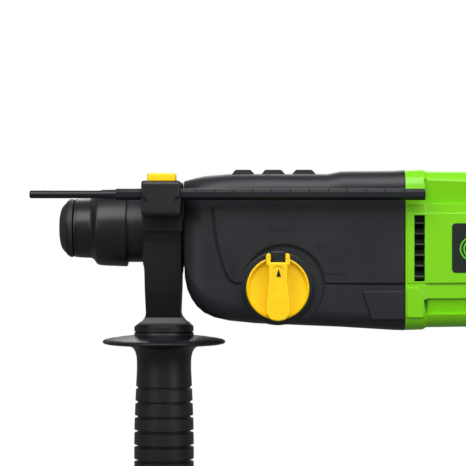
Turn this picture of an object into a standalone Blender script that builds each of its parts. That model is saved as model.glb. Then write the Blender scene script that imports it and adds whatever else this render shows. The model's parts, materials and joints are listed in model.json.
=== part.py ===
"""A cordless demolition and rotary hammer with a slotted-shank chuck, built as separate pieces.

Frame: the spindle axis is the X axis, the chuck points to -X, +Z is up and +Y is the tool's right.
The origin is on the spindle axis, where a bit's shank rests on the face of the impact bolt.
"""

import math

import bmesh
import bpy
from mathutils import Matrix, Vector

GAP = 0.0003  # between pieces that seat on each other
SLIDING = 0.0004  # radial room of a piece that slides or turns in another

# Spindle line. Places along the spindle are X values.
BORE_RADIUS = 0.00515  # takes a 10 mm shank
HOLDER_RADIUS = 0.0095
NOSE_RADIUS = 0.0080  # under the dust cap
SPRING_ROOM = 0.0055  # round the tool holder, for the sleeve spring
BOLT_RADIUS = 0.0079
JOURNAL_RADIUS = 0.0124
BARREL_RADIUS = 0.0165
BARREL_BORE = 0.0134
BARREL_END = 0.0860
PISTON_WALL = 0.0024
SLEEVE_RADIUS = 0.0213
SLEEVE_REAR = -0.0099
BALL_RADIUS = 0.0030
BALL_X = -0.0180
BALL_OFFSET = 0.0071
LOCK_RADIUS = HOLDER_RADIUS + 0.0011  # of the sleeve over the balls

# Gearbox casing
NECK_RADIUS = 0.0214
SEAT_RADIUS = NECK_RADIUS - 0.0030  # bore for the front seal and bearing
BUSH_RADIUS = BARREL_RADIUS + 0.0030
NECK_FRONT = -0.0110
CASE_FRONT = 0.0215
CASE_REAR = 0.1400
CASE_WALL = 0.0030
WEB_FRONT = 0.0440
WEB_REAR = 0.0540

# Drive train
LAY_Z = -0.0300  # intermediate shaft
MOTOR_Z = -0.0110
FIRST_MODULE = 0.00100
SECOND_MODULE = 0.00125
MOTOR_TEETH = 9
LAY_GEAR_TEETH = 29
LAY_PINION_TEETH = 13
SPINDLE_TEETH = 35
BACKLASH = 0.00028
WOBBLE_X = 0.0970

# Side handle
HANDLE_X = 0.0100
CLAMP_HALF = 0.0106
STRAP_RADIUS = NECK_RADIUS + GAP
STRAP_THICK = 0.0012
CLAMP_BORE = STRAP_RADIUS + STRAP_THICK + GAP
CLAMP_RADIUS = 0.0254
ROD_Y = -0.0455
ROD_Z = 0.0177
ROD_FLATS = 0.0055
ROD_REAR = 0.1499
ROD_STEP = -0.0140
ROD_TIP = -0.0596
BASE_Z = -0.1780  # the surface that the grip and the battery stand on

# Mode selector
KNOB_X = 0.0719
KNOB_Z = -0.0322
KNOB_RADIUS = 0.0168
CRANK = 0.0040

# Motor housing, rear handle and battery
SHELL_FRONT = CASE_REAR + GAP
SHELL_WALL = 0.0028
HANDLE_HALF = 0.0175
FOOT_HALF = 0.0345
FOOT_FRONT = 0.2060
FOOT_BASE = -0.1390
PACK_FRONT = 0.2120
PACK_REAR = 0.3400
PACK_HALF = 0.0375
PACK_SPLIT = -0.1550
CELL_RADIUS = 0.0092
CELL_COUNT = 6

for leftover in list(bpy.data.objects):
    bpy.data.objects.remove(leftover, do_unlink=True)

AXES = {
    "X": (Vector((1, 0, 0)), Vector((0, 0, 1))),
    "Y": (Vector((0, 1, 0)), Vector((0, 0, 1))),
    "Z": (Vector((0, 0, 1)), Vector((1, 0, 0))),
}
PLANES = {
    "YZ": lambda a, b, depth: Vector((depth, a, b)),
    "XZ": lambda a, b, depth: Vector((a, depth, b)),
    "XY": lambda a, b, depth: Vector((a, b, depth)),
}


def material(name, colour, roughness, metallic=0.0):
    """A plain Principled material."""
    made = bpy.data.materials.new(name)
    made.use_nodes = True
    shader = made.node_tree.nodes["Principled BSDF"]
    shader.inputs["Base Color"].default_value = (*colour, 1.0)
    shader.inputs["Roughness"].default_value = roughness
    shader.inputs["Metallic"].default_value = metallic
    made.diffuse_color = (*colour, 1.0)
    return made


BLACK = material("black_nylon", (0.022, 0.024, 0.027), 0.55)
RUBBER = material("black_rubber", (0.018, 0.018, 0.019), 0.8)
GREEN = material("green_abs", (0.22, 0.66, 0.005), 0.4)
YELLOW = material("yellow_nylon", (0.95, 0.62, 0.01), 0.4)
STEEL = material("hardened_steel", (0.55, 0.56, 0.58), 0.3, 1.0)
DARK_STEEL = material("blackened_steel", (0.10, 0.10, 0.11), 0.45, 1.0)
ALUMINIUM = material("cast_aluminium", (0.62, 0.63, 0.65), 0.5, 1.0)
COPPER = material("copper_winding", (0.70, 0.32, 0.16), 0.4, 1.0)
BOARD = material("circuit_board", (0.02, 0.16, 0.07), 0.5)
CELL = material("cell_wrap", (0.05, 0.22, 0.42), 0.4)


def link(name, shape, finish, origin=(0, 0, 0)):
    """Closes a bmesh into a named object whose origin is at the given point."""
    bmesh.ops.remove_doubles(shape, verts=shape.verts, dist=1e-6)
    bmesh.ops.recalc_face_normals(shape, faces=shape.faces)
    mesh = bpy.data.meshes.new(name)
    shape.to_mesh(mesh)
    shape.free()
    mesh.transform(Matrix.Translation(-Vector(origin)))
    mesh.materials.append(finish)
    made = bpy.data.objects.new(name, mesh)
    made.location = origin
    bpy.context.scene.collection.objects.link(made)
    return made


def turned(name, profile, finish, axis="X", centre=(0, 0, 0), steps=24):
    """A solid of revolution from a closed outline of (place along the axis, radius)."""
    along, out = AXES[axis]
    middle = Vector(centre)
    shape = bmesh.new()
    points = [shape.verts.new(middle + along * place + out * radius) for place, radius in profile]
    for here, (start, end) in enumerate(zip(profile, profile[1:] + profile[:1])):
        if start[1] > 0 or end[1] > 0:
            shape.edges.new((points[here], points[(here + 1) % len(points)]))
    bmesh.ops.spin(
        shape, geom=shape.verts[:] + shape.edges[:], cent=middle, axis=along,
        angle=math.tau, steps=steps, use_merge=True,
    )
    made = link(name, shape, finish, centre)
    made.data.shade_smooth()
    made.data.set_sharp_from_angle(angle=math.radians(35))
    return made


def tube(name, low, high, inner, outer, finish, axis="X", centre=(0, 0, 0), steps=24):
    """A plain ring, or a solid rod where the inner radius is 0."""
    profile = [(low, inner), (low, outer), (high, outer), (high, inner)]
    return turned(name, profile, finish, axis, centre, steps)


def prism(name, outline, plane, low, high, finish, origin=(0, 0, 0)):
    """An outline drawn in a plane and extruded square to it."""
    place = PLANES[plane]
    shape = bmesh.new()
    face = shape.faces.new([shape.verts.new(place(a, b, low)) for a, b in outline])
    grown = bmesh.ops.extrude_face_region(shape, geom=[face])
    moved = [v for v in grown["geom"] if isinstance(v, bmesh.types.BMVert)]
    bmesh.ops.translate(shape, verts=moved, vec=place(0, 0, high) - place(0, 0, low))
    return link(name, shape, finish, origin)


def block(name, low, high, finish, origin=(0, 0, 0)):
    """A box between two corners."""
    outline = [(low[0], low[2]), (high[0], low[2]), (high[0], high[2]), (low[0], high[2])]
    return prism(name, outline, "XZ", low[1], high[1], finish, origin)


def loft(name, sections, finish):
    """A skin over sections that all have the same number of points, closed at both ends."""
    shape = bmesh.new()
    loops = [[shape.verts.new(point) for point in section] for section in sections]
    for first, second in zip(loops, loops[1:]):
        for i in range(len(first)):
            shape.faces.new((first[i], first[i - 1], second[i - 1], second[i]))
    shape.faces.new(loops[0])
    shape.faces.new(loops[-1])
    made = link(name, shape, finish)
    made.data.shade_smooth()
    made.data.set_sharp_from_angle(angle=math.radians(35))
    return made


def combine(body, other, operation):
    """Applies a Boolean of another object, which is then removed."""
    modifier = body.modifiers.new(operation.lower(), "BOOLEAN")
    modifier.operation = operation
    modifier.solver = "EXACT"
    modifier.object = other
    bpy.context.view_layer.objects.active = body
    bpy.ops.object.modifier_apply(modifier=modifier.name)
    bpy.data.objects.remove(other, do_unlink=True)
    shape = bmesh.new()
    shape.from_mesh(body.data)
    bmesh.ops.remove_doubles(shape, verts=shape.verts, dist=4e-6)
    bmesh.ops.dissolve_degenerate(shape, edges=shape.edges, dist=4e-6)
    shape.to_mesh(body.data)
    shape.free()
    return body


def cut(body, *tools):
    for tool in tools:
        combine(body, tool, "DIFFERENCE")
    return body


def fuse(body, *others):
    for other in others:
        combine(body, other, "UNION")
    return body


def bevelled(body, width, segments=1, angle=40):
    """Breaks the sharp edges of a body."""
    modifier = body.modifiers.new("edges", "BEVEL")
    modifier.width = width
    modifier.segments = segments
    modifier.limit_method = "ANGLE"
    modifier.angle_limit = math.radians(angle)
    bpy.context.view_layer.objects.active = body
    bpy.ops.object.modifier_apply(modifier=modifier.name)
    return body


def arc(radius, start, end, steps, middle=(0.0, 0.0)):
    """Points on an arc, from one angle to another in degrees, both ends included."""
    points = []
    for i in range(steps + 1):
        angle = math.radians(start + (end - start) * i / steps)
        points.append((middle[0] + radius * math.cos(angle), middle[1] + radius * math.sin(angle)))
    return points


def rounded(x, half, bottom, top, radius, inset=0.0, steps=3):
    """A rounded rectangle in the YZ plane at x, taken in by inset all round."""
    half, bottom, top = half - inset, bottom + inset, top - inset
    radius = max(radius - inset, 0.002)
    corners = [
        ((half - radius, top - radius), 0),
        ((radius - half, top - radius), 90),
        ((radius - half, bottom + radius), 180),
        ((half - radius, bottom + radius), 270),
    ]
    outline = []
    for middle, start in corners:
        outline += arc(radius, start, start + 90, steps, middle)
    return [Vector((x, y, z)) for y, z in outline]


def inset_outline(outline, distance):
    """A closed outline, listed anticlockwise, taken in by a distance."""
    taken = []
    for i, here in enumerate(outline):
        before = Vector(here) - Vector(outline[i - 1])
        after = Vector(outline[(i + 1) % len(outline)]) - Vector(here)
        normals = [Vector((-d.y, d.x)).normalized() for d in (before, after)]
        middle = (normals[0] + normals[1]).normalized()
        reach = distance / max(middle.dot(normals[0]), 0.5)
        taken.append(tuple(Vector(here) + middle * reach))
    return taken


def involute(pressure):
    return math.tan(pressure) - pressure


def gear_outline(teeth, module, turn=0.0):
    """A spur gear in its own plane; a tooth points to angle 'turn', in degrees."""
    pitch, base = teeth * module / 2, teeth * module / 2 * math.cos(math.radians(20))
    tip, root = pitch + 0.8 * module, pitch - 1.05 * module
    half = math.pi / 2 / teeth + involute(math.radians(20)) - BACKLASH / 2 / pitch
    sides = []
    for radius in (root, pitch, tip):
        reach = max(radius, base)
        angle = half - involute(math.acos(base / reach))
        sides.append((radius, angle * (0.92 if radius < base else 1.0)))
    outline = []
    for tooth in range(teeth):
        middle = math.radians(turn) + math.tau * tooth / teeth
        for radius, angle in sides:
            outline.append((radius * math.cos(middle - angle), radius * math.sin(middle - angle)))
        for radius, angle in reversed(sides):
            outline.append((radius * math.cos(middle + angle), radius * math.sin(middle + angle)))
    return outline


def gear(name, teeth, module, low, high, z, turn, bore, finish):
    """A spur gear on an axis along X at height z, with a round bore where one is given."""
    outline = [(a, b + z) for a, b in gear_outline(teeth, module, turn)]
    made = prism(name, outline, "YZ", low, high, finish, (0, 0, z))
    if bore:
        cut(made, tube("bore", low - 0.01, high + 0.01, 0, bore, finish, "X", (0, 0, z)))
    return made


def coil(name, radius, wire, low, high, turns, finish, axis="X", centre=(0, 0, 0)):
    """A compression spring: a four-sided wire wound round an axis."""
    along, out = AXES[axis]
    side = along.cross(out)
    middle = Vector(centre)
    shape = bmesh.new()
    per_turn = 8
    rings = []
    count = int(turns * per_turn)
    for i in range(count + 1):
        angle = math.tau * i / per_turn
        radial = out * math.cos(angle) + side * math.sin(angle)
        place = low + wire + (high - low - 2 * wire) * i / count
        hub = middle + along * place + radial * radius
        rings.append([
            shape.verts.new(hub + (radial * math.cos(t) + along * math.sin(t)) * wire)
            for t in (math.tau * k / 4 for k in range(4))
        ])
    for first, second in zip(rings, rings[1:]):
        for k in range(4):
            shape.faces.new((first[k], first[k - 1], second[k - 1], second[k]))
    shape.faces.new(rings[0])
    shape.faces.new(rings[-1])
    made = link(name, shape, finish, centre)
    made.data.shade_smooth()
    return made


def ball(name, centre, radius, finish, steps=10):
    """A ball turned about X."""
    return turned(name, [(-p, r) for p, r in arc(radius, 0, 180, steps // 2)], finish, "X", centre, steps)


# ---- Chuck -------------------------------------------------------------------------------------

dust_cap = turned("dust_cap", [
    (-0.0433, 0.0055), (-0.0474, 0.0055), (-0.0472, 0.0070), (-0.0464, 0.0107), (-0.0439, 0.0138),
    (-0.0430, 0.0151), (-0.0426, 0.0145), (-0.0422, 0.0158), (-0.0395, 0.0160), (-0.0395, HOLDER_RADIUS + GAP),
    (-0.0397, NOSE_RADIUS + GAP), (-0.0433, NOSE_RADIUS + GAP),
], RUBBER, steps=24)

locking_sleeve = turned("locking_sleeve", [
    (-0.0392, HOLDER_RADIUS + SLIDING), (-0.0392, 0.0158), (-0.0386, 0.0162), (-0.0298, 0.0166),
    (-0.0277, 0.0180), (-0.0263, SLEEVE_RADIUS - 0.0011), (-0.0240, SLEEVE_RADIUS - 0.0005),
    (-0.0106, SLEEVE_RADIUS), (SLEEVE_REAR, SLEEVE_RADIUS - 0.0004), (SLEEVE_REAR, SLEEVE_RADIUS - 0.0019), (-0.0205, 0.0190), (-0.0205, HOLDER_RADIUS + SPRING_ROOM), (-0.0145, HOLDER_RADIUS + SPRING_ROOM),
    (-0.0145, LOCK_RADIUS), (-0.0180, LOCK_RADIUS), (-0.0274, LOCK_RADIUS + 0.0026),
    (-0.0274, HOLDER_RADIUS + SLIDING),
], BLACK, steps=24)

sleeve_spring = coil("sleeve_spring", HOLDER_RADIUS + 0.0021, 0.00045, -0.0142, -0.0046, 3, STEEL)
spring_washer = tube("spring_washer", -0.0043, -0.0033, HOLDER_RADIUS + GAP,
                     HOLDER_RADIUS + SPRING_ROOM - 0.0004, STEEL)
lock_balls = [
    ball("lock_ball_right", (BALL_X, BALL_OFFSET, 0), BALL_RADIUS, STEEL),
    ball("lock_ball_left", (BALL_X, -BALL_OFFSET, 0), BALL_RADIUS, STEEL),
]

tool_holder = turned("tool_holder", [
    (-0.0430, BORE_RADIUS), (-0.0430, NOSE_RADIUS), (-0.0392, NOSE_RADIUS), (-0.0392, HOLDER_RADIUS),
    (-0.0030, HOLDER_RADIUS), (-0.0030, JOURNAL_RADIUS), (0.0123, JOURNAL_RADIUS),
    (0.0123, 0.0140), (0.0250, 0.0140), (0.0280, BARREL_RADIUS), (BARREL_END, BARREL_RADIUS),
    (BARREL_END, BARREL_BORE), (0.0280, BARREL_BORE), (0.0280, BOLT_RADIUS + SLIDING), (0.0085, BOLT_RADIUS + SLIDING),
    (0.0085, BORE_RADIUS),
], STEEL, steps=24)
for side in (-1, 1):
    low, high = sorted((side * 0.0035, side * 0.0120))
    cut(tool_holder, tube("window", low, high, 0, BALL_RADIUS + GAP, STEEL, "Y", (BALL_X, 0, 0), 16))
    low, high = sorted((side * 0.0036, side * 0.0070))
    fuse(tool_holder, block("rib", (-0.0420, -0.0010, low), (-0.0020, 0.0010, high), STEEL))

# ---- Hammer mechanism --------------------------------------------------------------------------

impact_bolt = turned("impact_bolt", [
    (0, 0), (0, BORE_RADIUS - 0.0009), (0.0006, BORE_RADIUS - 0.00035), (0.0100, BORE_RADIUS - 0.00035),
    (0.0112, BOLT_RADIUS), (0.0220, BOLT_RADIUS),
    (0.0232, 0.0054), (0.0340, 0.0054), (0.0340, 0),
], STEEL, steps=24)
bolt_guide = tube("bolt_guide", 0.0283, 0.0340, 0.0058, BARREL_BORE - GAP, ALUMINIUM)
PISTON_BORE = BARREL_BORE - GAP - PISTON_WALL
STRIKER_RADIUS = PISTON_BORE - GAP
striker = turned("striker", [
    (0.0400, 0), (0.0400, 0.0044), (0.0406, 0.0050), (0.0560, 0.0050), (0.0566, STRIKER_RADIUS),
    (0.0640, STRIKER_RADIUS), (0.0640, STRIKER_RADIUS - 0.0012), (0.0664, STRIKER_RADIUS - 0.0012),
    (0.0664, STRIKER_RADIUS), (0.0735, STRIKER_RADIUS), (0.0740, STRIKER_RADIUS - 0.0006), (0.0740, 0),
], STEEL, steps=24)
piston = turned("piston", [
    (0.0520, PISTON_BORE), (0.0520, BARREL_BORE - GAP), (0.0895, BARREL_BORE - GAP), (0.0905, 0.0115),
    (0.1032, 0.0115), (0.1032, 0), (0.0880, 0), (0.0880, PISTON_BORE),
], ALUMINIUM, steps=24)
cut(piston, block("fork", (0.0915, -0.0034, -0.02), (0.1050, 0.0034, 0.02), ALUMINIUM),
    tube("pin_hole", -0.02, 0.02, 0, 0.0048, ALUMINIUM, "Y", (WOBBLE_X, 0, 0), 16))
piston_pin = tube("piston_pin", -0.0098, 0.0098, 0, 0.0045, STEEL, "Y", (WOBBLE_X, 0, 0), 16)
cut(piston_pin, tube("finger_hole", -0.01, 0.01, 0, 0.0033, STEEL, "Z", (WOBBLE_X, 0, 0), 12))
spindle_gear = gear("spindle_gear", SPINDLE_TEETH, SECOND_MODULE, 0.0580, 0.0700, 0,
                    -90 + 180 / SPINDLE_TEETH, BARREL_RADIUS + GAP, STEEL)
spindle_bush = tube("spindle_bush", WEB_FRONT + GAP, WEB_REAR - GAP, BARREL_RADIUS + SLIDING, BUSH_RADIUS,
                    ALUMINIUM)
front_seal = tube("front_seal", -0.0007, 0.0033, JOURNAL_RADIUS + GAP, SEAT_RADIUS - GAP, RUBBER)
front_bearing = turned("front_bearing", [
    (0.0040, JOURNAL_RADIUS + GAP), (0.0040, SEAT_RADIUS - GAP), (0.0118, SEAT_RADIUS - GAP),
    (0.0118, JOURNAL_RADIUS + GAP),
], STEEL)

# ---- Intermediate shaft ------------------------------------------------------------------------

LAY = (0, 0, LAY_Z)
intermediate_shaft = turned("intermediate_shaft", [
    (0.0450, 0), (0.0450, 0.0040), (0.0540, 0.0040), (0.0540, 0.0065), (0.0800, 0.0065),
    (0.0800, 0.0050), (0.1257, 0.0050), (0.1257, 0),
], STEEL, "X", LAY, 16)
fuse(intermediate_shaft, gear("pinion", LAY_PINION_TEETH, SECOND_MODULE, 0.0578, 0.0702, LAY_Z, 90,
                              0, STEEL))
intermediate_gear = gear("intermediate_gear", LAY_GEAR_TEETH, FIRST_MODULE, 0.1085, 0.1165, LAY_Z,
                         90 + 180 / LAY_GEAR_TEETH, 0.0053, STEEL)
hub_arc = arc(0.0117, 45, 135, 6)
wobble_hub = turned("wobble_hub", [(-0.0083, 0.0053)] + [(-a, b) for a, b in hub_arc]
                    + [(0.0083, 0.0053)], STEEL, "X", (WOBBLE_X, 0, LAY_Z), 20)
TILT = math.radians(8.6)
for i in range(7):
    angle = math.tau * i / 7
    out, up = 0.0127 * math.cos(angle), 0.0127 * math.sin(angle)
    fuse(wobble_hub, ball("ball", (WOBBLE_X - up * math.sin(TILT), out, LAY_Z + up * math.cos(TILT)),
                          0.0016, STEEL, 6))
wobble_ring = turned("wobble_ring", [
    (place, math.sqrt(0.0148 ** 2 - place ** 2)) for place in (-0.0040, -0.0020, 0, 0.0020, 0.0040)
] + [(0.0040, 0.0166), (0.0034, 0.0170), (-0.0034, 0.0170), (-0.0040, 0.0166)],
    STEEL, "X", (WOBBLE_X, 0, LAY_Z), 24)
fuse(wobble_ring, turned("finger", [(0.0155, 0), (0.0155, 0.0030), (0.0200, 0.0022),
                                    (0.0330, 0.0022), (0.0340, 0.0014), (0.0340, 0)],
                         STEEL, "Z", (WOBBLE_X, 0, LAY_Z), 12))
intermediate_bearing_front = tube("intermediate_bearing_front", 0.0455, 0.0535, 0.0043, 0.0078,
                                  STEEL, "X", LAY, 16)
intermediate_bearing_rear = tube("intermediate_bearing_rear", 0.1198, 0.1257, 0.0053, 0.0092,
                                 STEEL, "X", LAY, 16)

# ---- Gearbox casing ----------------------------------------------------------------------------

CASE_OUTLINE = [  # X, half width, bottom, top, corner radius
    (0.0215, 0.0290, -0.0248, 0.0254, 0.014), (0.0233, 0.0325, -0.0327, 0.0258, 0.013),
    (0.0273, 0.0350, -0.0406, 0.0268, 0.012), (0.0339, 0.0358, -0.0459, 0.0282, 0.011),
    (0.0430, 0.0361, -0.0490, 0.0289, 0.010), (0.0600, 0.0362, -0.0514, 0.0293, 0.010),
    (0.1094, 0.0363, -0.0533, 0.0300, 0.010), (0.1400, 0.0366, -0.0552, 0.0313, 0.010),
]


def case_sections(low, high, inset):
    """Sections of the gearbox casing between two X values, taken in by inset."""
    found = []
    for x, half, bottom, top, radius in CASE_OUTLINE:
        if low < x < high:
            found.append((x, half, bottom, top, radius))
    for x in (low, high):
        before = max((s for s in CASE_OUTLINE if s[0] <= x), default=CASE_OUTLINE[0])
        after = min((s for s in CASE_OUTLINE if s[0] >= x), default=CASE_OUTLINE[-1])
        span = after[0] - before[0]
        share = 0 if span == 0 else (x - before[0]) / span
        found.append((x, *(a + (b - a) * share for a, b in zip(before[1:], after[1:]))))
    return [rounded(x, *rest, inset) for x, *rest in sorted(found)]


gearbox_housing = loft("gearbox_housing", case_sections(CASE_FRONT, CASE_REAR, 0), BLACK)
fuse(gearbox_housing, turned("neck", [
    (NECK_FRONT, 0), (NECK_FRONT, 0.0188), (-0.0013, 0.0188), (-0.0013, NECK_RADIUS - 0.0005),
    (-0.0008, NECK_RADIUS), (0.0240, NECK_RADIUS), (0.0240, 0),
], BLACK, steps=24))
for start in (0.0465, 0.0628, 0.0790):
    fuse(gearbox_housing, prism("ridge", [
        (start, 0.0270), (start + 0.0022, 0.0316), (start + 0.0105, 0.0316), (start + 0.0135, 0.0270),
    ], "XZ", -0.0190, 0.0190, BLACK))
for side in (-1, 1):
    low, high = sorted((side * 0.0330, side * 0.0376))
    for bottom, top in ((-0.0490, -0.0335), (0.0120, 0.0225)):
        slant = 0.0050 if bottom < 0 else 0.0
        fuse(gearbox_housing, prism("screw_boss", [
            (0.1180 + slant, bottom), (CASE_REAR, bottom), (CASE_REAR, top), (0.1180, top),
        ], "XZ", low, high, BLACK))
fuse(gearbox_housing, tube("knob_seat", -0.0392, -0.0330, 0, 0.0185, BLACK, "Y", (KNOB_X, 0, KNOB_Z), 24))
mouth = rounded(CASE_REAR + 0.01, *CASE_OUTLINE[-1][1:], CASE_WALL)
cavity = loft("cavity", case_sections(0.0330, CASE_REAR, CASE_WALL) + [mouth], BLACK)
cut(gearbox_housing, cavity,
    tube("seal_bore", -0.0010, 0.0340, 0, SEAT_RADIUS, BLACK, steps=24),
    tube("nose_bore", NECK_FRONT - 0.01, 0.0, 0, HOLDER_RADIUS + SPRING_ROOM + 0.0006, BLACK, steps=24))
web = loft("web", case_sections(WEB_FRONT, WEB_REAR, CASE_WALL - 0.0006), BLACK)
cut(web, tube("bush_bore", 0.03, 0.07, 0, BUSH_RADIUS + GAP, BLACK, steps=24),
    tube("lay_bore", 0.03, 0.07, 0, 0.0081, BLACK, "X", LAY, 20))
for side in (-1, 1):
    cut(web, tube("window", 0.03, 0.07, 0, 0.0055, BLACK, "X", (0, side * 0.0220, LAY_Z), 12))
fuse(gearbox_housing, web)
cut(gearbox_housing, tube("knob_bore", -0.05, -0.02, 0, 0.0104, BLACK, "Y", (KNOB_X, 0, KNOB_Z), 24))

bulkhead = loft("bulkhead", [
    rounded(x, 0.0363, -0.0546, 0.0307, 0.014, CASE_WALL + GAP) for x in (0.1262, 0.1300)
], ALUMINIUM)
fuse(bulkhead,
     tube("front_boss", 0.1180, 0.1265, 0, 0.0122, ALUMINIUM, "X", LAY, 24),
     tube("rear_boss", 0.1290, 0.1365, 0, 0.0138, ALUMINIUM, "X", (0, 0, MOTOR_Z), 24))
cut(bulkhead,
    tube("lay_pocket", 0.1195, 0.1262, 0, 0.0095, ALUMINIUM, "X", LAY, 20),
    tube("lay_mouth", 0.1150, 0.1220, 0, 0.0070, ALUMINIUM, "X", LAY, 20),
    tube("motor_pocket", 0.1290, 0.1400, 0, 0.0110, ALUMINIUM, "X", (0, 0, MOTOR_Z), 24),
    tube("pinion_hole", 0.1150, 0.1350, 0, 0.0066, ALUMINIUM, "X", (0, 0, MOTOR_Z), 20))

# ---- Mode selector -----------------------------------------------------------------------------

KNOB = (KNOB_X, 0, KNOB_Z)
selector_knob = turned("selector_knob", [
    (-0.0396, 0), (-0.0396, KNOB_RADIUS), (-0.0440, KNOB_RADIUS), (-0.0448, 0.0160), (-0.0448, 0),
], YELLOW, "Y", KNOB, 24)
fuse(selector_knob,
     tube("stem", -0.0398, -0.0310, 0, 0.0100, YELLOW, "Y", KNOB, 20),
     prism("grip_bar", [
         (KNOB_X - 0.0062, KNOB_Z + 0.0110), (KNOB_X - 0.0062, KNOB_Z - 0.0120),
         (KNOB_X - 0.0045, KNOB_Z - 0.0160), (KNOB_X, KNOB_Z - 0.0172),
         (KNOB_X + 0.0045, KNOB_Z - 0.0160), (KNOB_X + 0.0062, KNOB_Z - 0.0120),
         (KNOB_X + 0.0062, KNOB_Z + 0.0110),
     ], "XZ", -0.0520, -0.0440, YELLOW),
     prism("prong_left", [
         (KNOB_X - 0.0062, KNOB_Z + 0.0100), (KNOB_X - 0.0040, KNOB_Z + 0.0100),
         (KNOB_X - 0.0040, KNOB_Z + 0.0190), (KNOB_X - 0.0062, KNOB_Z + 0.0190)],
           "XZ", -0.0515, -0.0420, YELLOW),
     prism("prong_right", [
         (KNOB_X + 0.0040, KNOB_Z + 0.0100), (KNOB_X + 0.0062, KNOB_Z + 0.0100),
         (KNOB_X + 0.0062, KNOB_Z + 0.0190), (KNOB_X + 0.0040, KNOB_Z + 0.0190)],
           "XZ", -0.0515, -0.0420, YELLOW))
cut(selector_knob,
    block("slot", (KNOB_X - 0.0038, -0.0600, KNOB_Z - 0.0020), (KNOB_X + 0.0038, -0.0462, KNOB_Z + 0.0150),
          YELLOW),
    block("tab_slot", (KNOB_X - 0.0038, -0.0600, KNOB_Z + 0.0050),
          (KNOB_X + 0.0038, -0.0446, KNOB_Z + 0.0300), YELLOW))
selector_crank = turned("selector_crank", [
    (-0.0308, 0), (-0.0308, 0.0112), (-0.0290, 0.0112), (-0.0290, 0),
], DARK_STEEL, "Y", KNOB, 20)
fuse(selector_crank, tube("pin", -0.0292, -0.0240, 0, 0.0020, DARK_STEEL, "Y",
                          (KNOB_X, 0, KNOB_Z + CRANK), 12))
selector_lock_tab = block("selector_lock_tab", (KNOB_X - 0.0035, -0.0490, KNOB_Z + 0.0100),
                          (KNOB_X + 0.0035, -0.0452, KNOB_Z + 0.0195), BLACK,
                          (KNOB_X, -0.0470, KNOB_Z + 0.0140))
shift_plate = prism("shift_plate", [
    (KNOB_X - 0.0080, KNOB_Z - 0.0090), (KNOB_X + 0.0080, KNOB_Z - 0.0090),
    (KNOB_X + 0.0080, KNOB_Z + 0.0110), (KNOB_X - 0.0080, KNOB_Z + 0.0110),
], "XZ", -0.0285, -0.0265, DARK_STEEL)
cut(shift_plate, block("track", (KNOB_X - 0.0032, -0.04, KNOB_Z - 0.0070),
                       (KNOB_X + 0.0032, -0.02, KNOB_Z + 0.0085), DARK_STEEL))

# ---- Motor -------------------------------------------------------------------------------------

MOTOR = (0, 0, MOTOR_Z)
motor_shaft = turned("motor_shaft", [
    (0.1080, 0), (0.1080, 0.0030), (0.1192, 0.0030), (0.1192, 0.0040), (0.2280, 0.0040), (0.2280, 0),
], STEEL, "X", MOTOR, 16)
fuse(motor_shaft, gear("pinion", MOTOR_TEETH, FIRST_MODULE, 0.1085, 0.1175, MOTOR_Z, -90, 0, STEEL))
motor_bearing_front = tube("motor_bearing_front", 0.1293, 0.1360, 0.0043, 0.0107, STEEL, "X", MOTOR, 20)
motor_bearing_rear = tube("motor_bearing_rear", 0.2210, 0.2270, 0.0043, 0.0092, STEEL, "X", MOTOR, 20)
rotor = turned("rotor", [
    (0.1600, 0.0043), (0.1600, 0.0110), (0.1640, 0.0148), (0.2010, 0.0148), (0.2050, 0.0110),
    (0.2050, 0.0043),
], DARK_STEEL, "X", MOTOR, 20)
fan = turned("fan", [
    (0.1420, 0.0043), (0.1420, 0.0080), (0.1440, 0.0100), (0.1440, 0.0260), (0.1455, 0.0260),
    (0.1455, 0.0120), (0.1530, 0.0100), (0.1530, 0.0043),
], BLACK, "X", MOTOR, 24)
for i in range(7):
    angle = math.tau * i / 7
    blade = block("blade", (0.1450, -0.0008, 0.0090), (0.1525, 0.0008, 0.0255), BLACK)
    blade.data.transform(Matrix.Rotation(angle, 4, "X"))
    blade.data.transform(Matrix.Translation((0, 0, MOTOR_Z)))
    fuse(fan, blade)
stator = tube("stator", 0.1580, 0.2070, 0.0160, 0.0276, DARK_STEEL, "X", MOTOR, 20)
for low, high in ((0.1535, 0.1585), (0.2065, 0.2120)):
    fuse(stator, turned("winding", [
        (low, 0.0180), (low, 0.0245), (high, 0.0250), (high, 0.0175),
    ], COPPER, "X", MOTOR, 20))

# ---- Motor housing and rear handle -------------------------------------------------------------

BARREL = [  # X, half width, bottom, top, corner radius
    (SHELL_FRONT, 0.0366, -0.0552, 0.0313, 0.010), (0.1512, 0.0370, -0.0545, 0.0316, 0.010),
    (0.1530, 0.0360, -0.0535, 0.0310, 0.010), (0.2050, 0.0355, -0.0530, 0.0305, 0.012),
    (0.2250, 0.0325, -0.0500, 0.0300, 0.016), (0.2340, 0.0270, -0.0440, 0.0270, 0.018),
]
HANDLE_OUTLINE = [
    (0.2060, -0.1280), (0.3290, -0.1280), (0.3335, -0.1100), (0.3315, -0.0600), (0.3260, -0.0100),
    (0.3190, 0.0140), (0.3060, 0.0240), (0.2850, 0.0282), (0.2200, 0.0295), (0.2160, -0.0450),
    (0.2040, -0.0560), (0.2040, -0.0900),
]
HAND_OPENING = [
    (0.2300, -0.1160), (0.2870, -0.1160), (0.2875, -0.0600), (0.2840, -0.0180), (0.2780, -0.0120),
    (0.2620, -0.0120), (0.2400, -0.0480), (0.2300, -0.0600),
]
opening_wall = inset_outline(HAND_OPENING, -SHELL_WALL)

shell = loft("shell", [rounded(*section) for section in BARREL], GREEN)
handle = prism("handle", HANDLE_OUTLINE, "XZ", -HANDLE_HALF, HANDLE_HALF, GREEN)
cut(handle, prism("opening", HAND_OPENING, "XZ", -0.05, 0.05, GREEN))
foot = block("foot", (FOOT_FRONT, -FOOT_HALF, FOOT_BASE), (0.3300, FOOT_HALF, -0.1165), GREEN)
fuse(shell, bevelled(handle, 0.0040, 1), bevelled(foot, 0.0025, 1, 80))

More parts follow.
